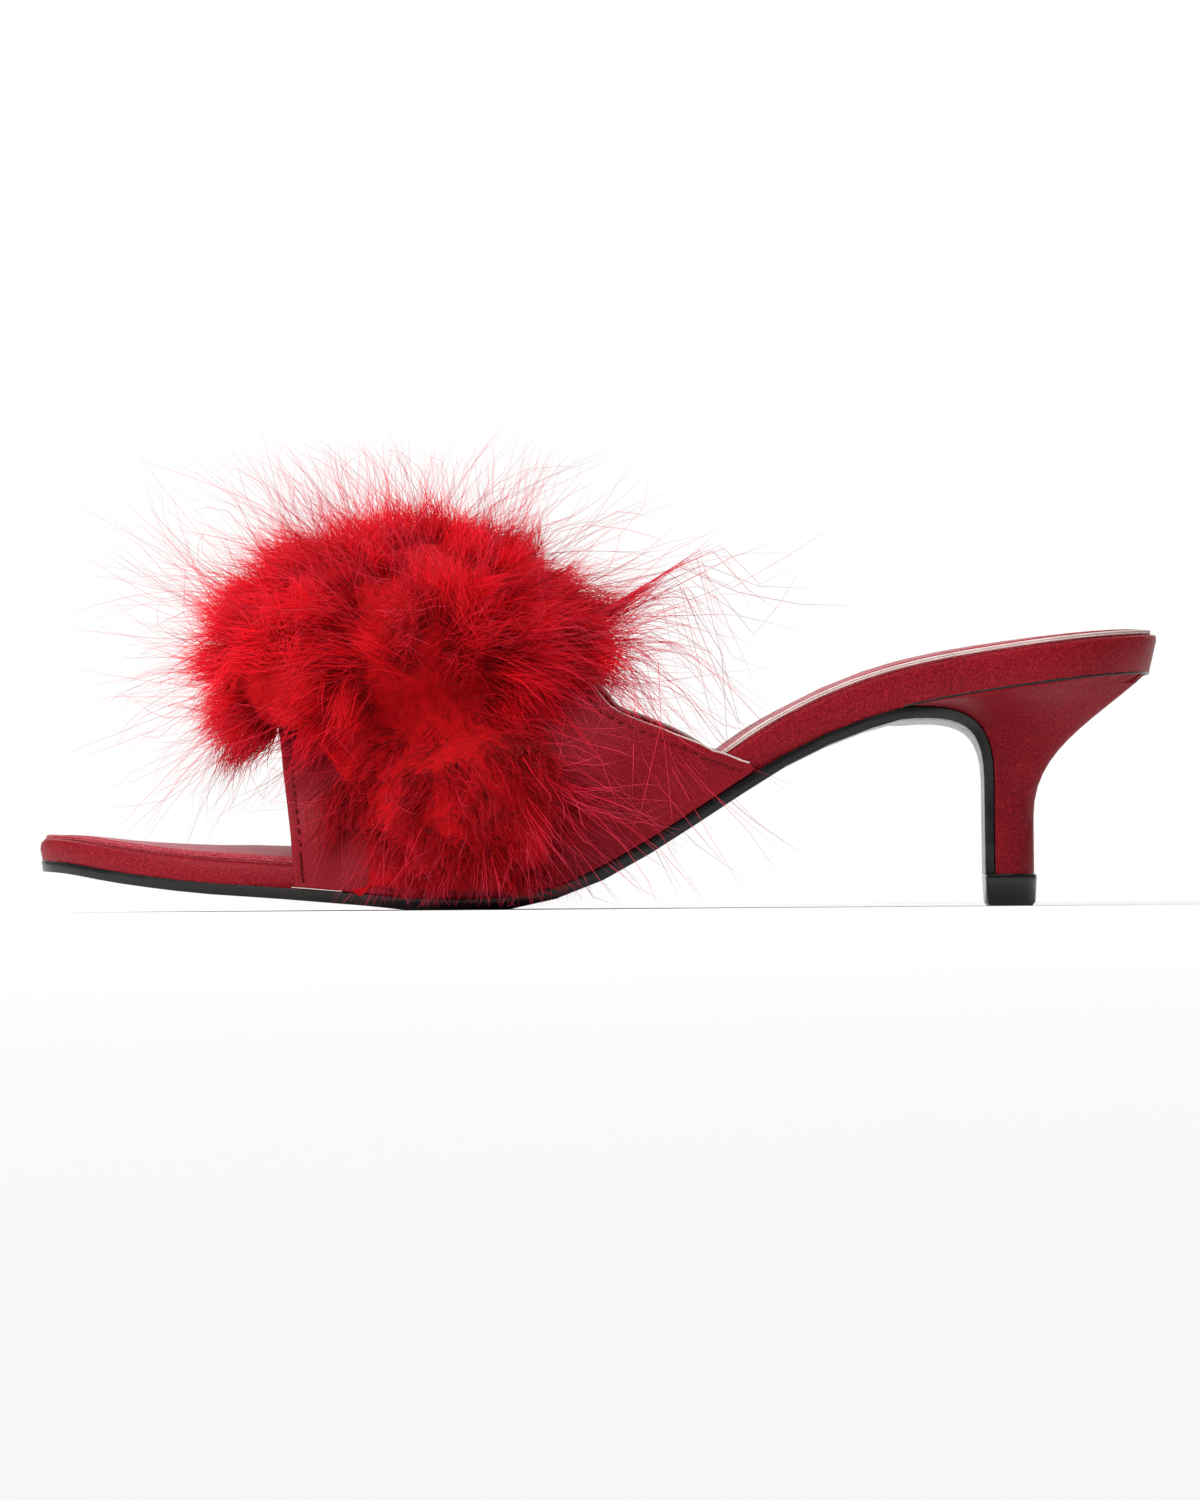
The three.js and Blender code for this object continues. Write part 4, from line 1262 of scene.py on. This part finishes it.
# Floor, light and camera
setSizes = {
    "floorWidth": 8.0,  # in metres
    "floorTone": (0.89, 0.888, 0.89, 1),
    "cardWidth": 1.2,
    "cardPlace": (0, 0.55, 0.6),
    "cardGlow": (0.4, 1.0),  # as a light on the shoe, and as the camera and the shiny faces see it
    "worldGlow": (0.22, 1.0),
}
clearSelection()
bpy.ops.mesh.primitive_plane_add(size=setSizes["floorWidth"], location=(0, 0, 0))
floor = bpy.context.object
floor.name = "floor"
floorMaterial, _, floorShader = newMaterial("paleFloor")
setSockets(floorShader, Base_Color=setSizes["floorTone"], Roughness=1, Specular_IOR_Level=0)
floor.data.materials.append(floorMaterial)

# a bright card close behind the set, so that floor and background are one white
# from behind it is see-through
upright = (math.radians(90), 0, 0)
bpy.ops.mesh.primitive_plane_add(size=setSizes["cardWidth"], location=setSizes["cardPlace"], rotation=upright)
card = bpy.context.object
card.name = "backCard"
cardMaterial, cardTree, cardShader = newMaterial("brightCard")
seen = addNode(cardTree, "LightPath")
mirrored = addNode(cardTree, "Math", operation="MAXIMUM")
glow = addNode(cardTree, "MapRange")
setSockets(glow, To_Min=setSizes["cardGlow"][0], To_Max=setSizes["cardGlow"][1])
wire(
    cardTree,
    (seen, "Is Camera Ray", mirrored, 0), (seen, "Is Glossy Ray", mirrored, 1),
    (mirrored, "Value", glow, "Value"), (glow, "Result", cardShader, "Emission Strength"),
)
behind = addNode(cardTree, "NewGeometry")
inFront = addNode(cardTree, "Math", operation="SUBTRACT")
inFront.inputs[0].default_value = 1
wire(cardTree, (behind, "Backfacing", inFront, 1), (inFront, "Value", cardShader, "Alpha"))
setSockets(cardShader, Base_Color=(0, 0, 0, 1), Emission_Color=(1, 1, 1, 1), Specular_IOR_Level=0)
card.data.materials.append(cardMaterial)

lightRig = (
    # name, place, aim, width, height, power
    ("overheadBox", (0.0, -0.3, 1.3), (0, -0.2, 0.03), 1.6, 1.6, 17),
    ("keyBox", (-1.1, -1.0, 0.6), (0, 0, 0.04), 0.6, 0.6, 13.5),
    ("backBox", (-0.4, 0.45, 0.55), (0, 0, 0.05), 0.7, 0.35, 2),
)
for name, place, aim, width, height, power in lightRig:
    bpy.ops.object.light_add(type="AREA", location=place)
    lamp = bpy.context.object
    lamp.name = name
    lamp.data.shape = "RECTANGLE"
    lamp.data.size = width
    lamp.data.size_y = height
    lamp.data.energy = power
    lamp.rotation_euler = (Vector(place) - Vector(aim)).to_track_quat("Z", "Y").to_euler()

world = bpy.context.scene.world or bpy.data.worlds.new("studio")
bpy.context.scene.world = world
world.use_nodes = True
worldTree = world.node_tree
backdrop = worldTree.nodes["Background"]
setSockets(backdrop, Color=(1, 1, 1, 1))
cameraRay = addNode(worldTree, "LightPath")
brightness = addNode(worldTree, "MapRange")
setSockets(brightness, To_Min=setSizes["worldGlow"][0], To_Max=setSizes["worldGlow"][1])
wire(
    worldTree,
    (cameraRay, "Is Camera Ray", brightness, "Value"), (brightness, "Result", backdrop, "Strength"),
)

cameraSizes = {
    "place": (0.65, -1060, 2.0),
    "aim": (0.65, 0, 33.7),
    "lens": 119.8,
    "roll": -0.41,
}
cameraPlace = Vector(cameraSizes["place"]) * mm
bpy.ops.object.camera_add(location=cameraPlace)
camera = bpy.context.object
camera.name = "photoCamera"
camera.data.lens = cameraSizes["lens"]
camera.data.sensor_width = 36
camera.data.clip_start, camera.data.clip_end = 0.01, 50
look = (cameraPlace - Vector(cameraSizes["aim"]) * mm).to_track_quat("Z", "Y")
roll = Euler((0, 0, math.radians(cameraSizes["roll"]))).to_quaternion()
camera.rotation_euler = (look @ roll).to_euler()
bpy.context.scene.camera = camera
bpy.context.scene.view_settings.view_transform = "Standard"
print("floor, light and camera set")
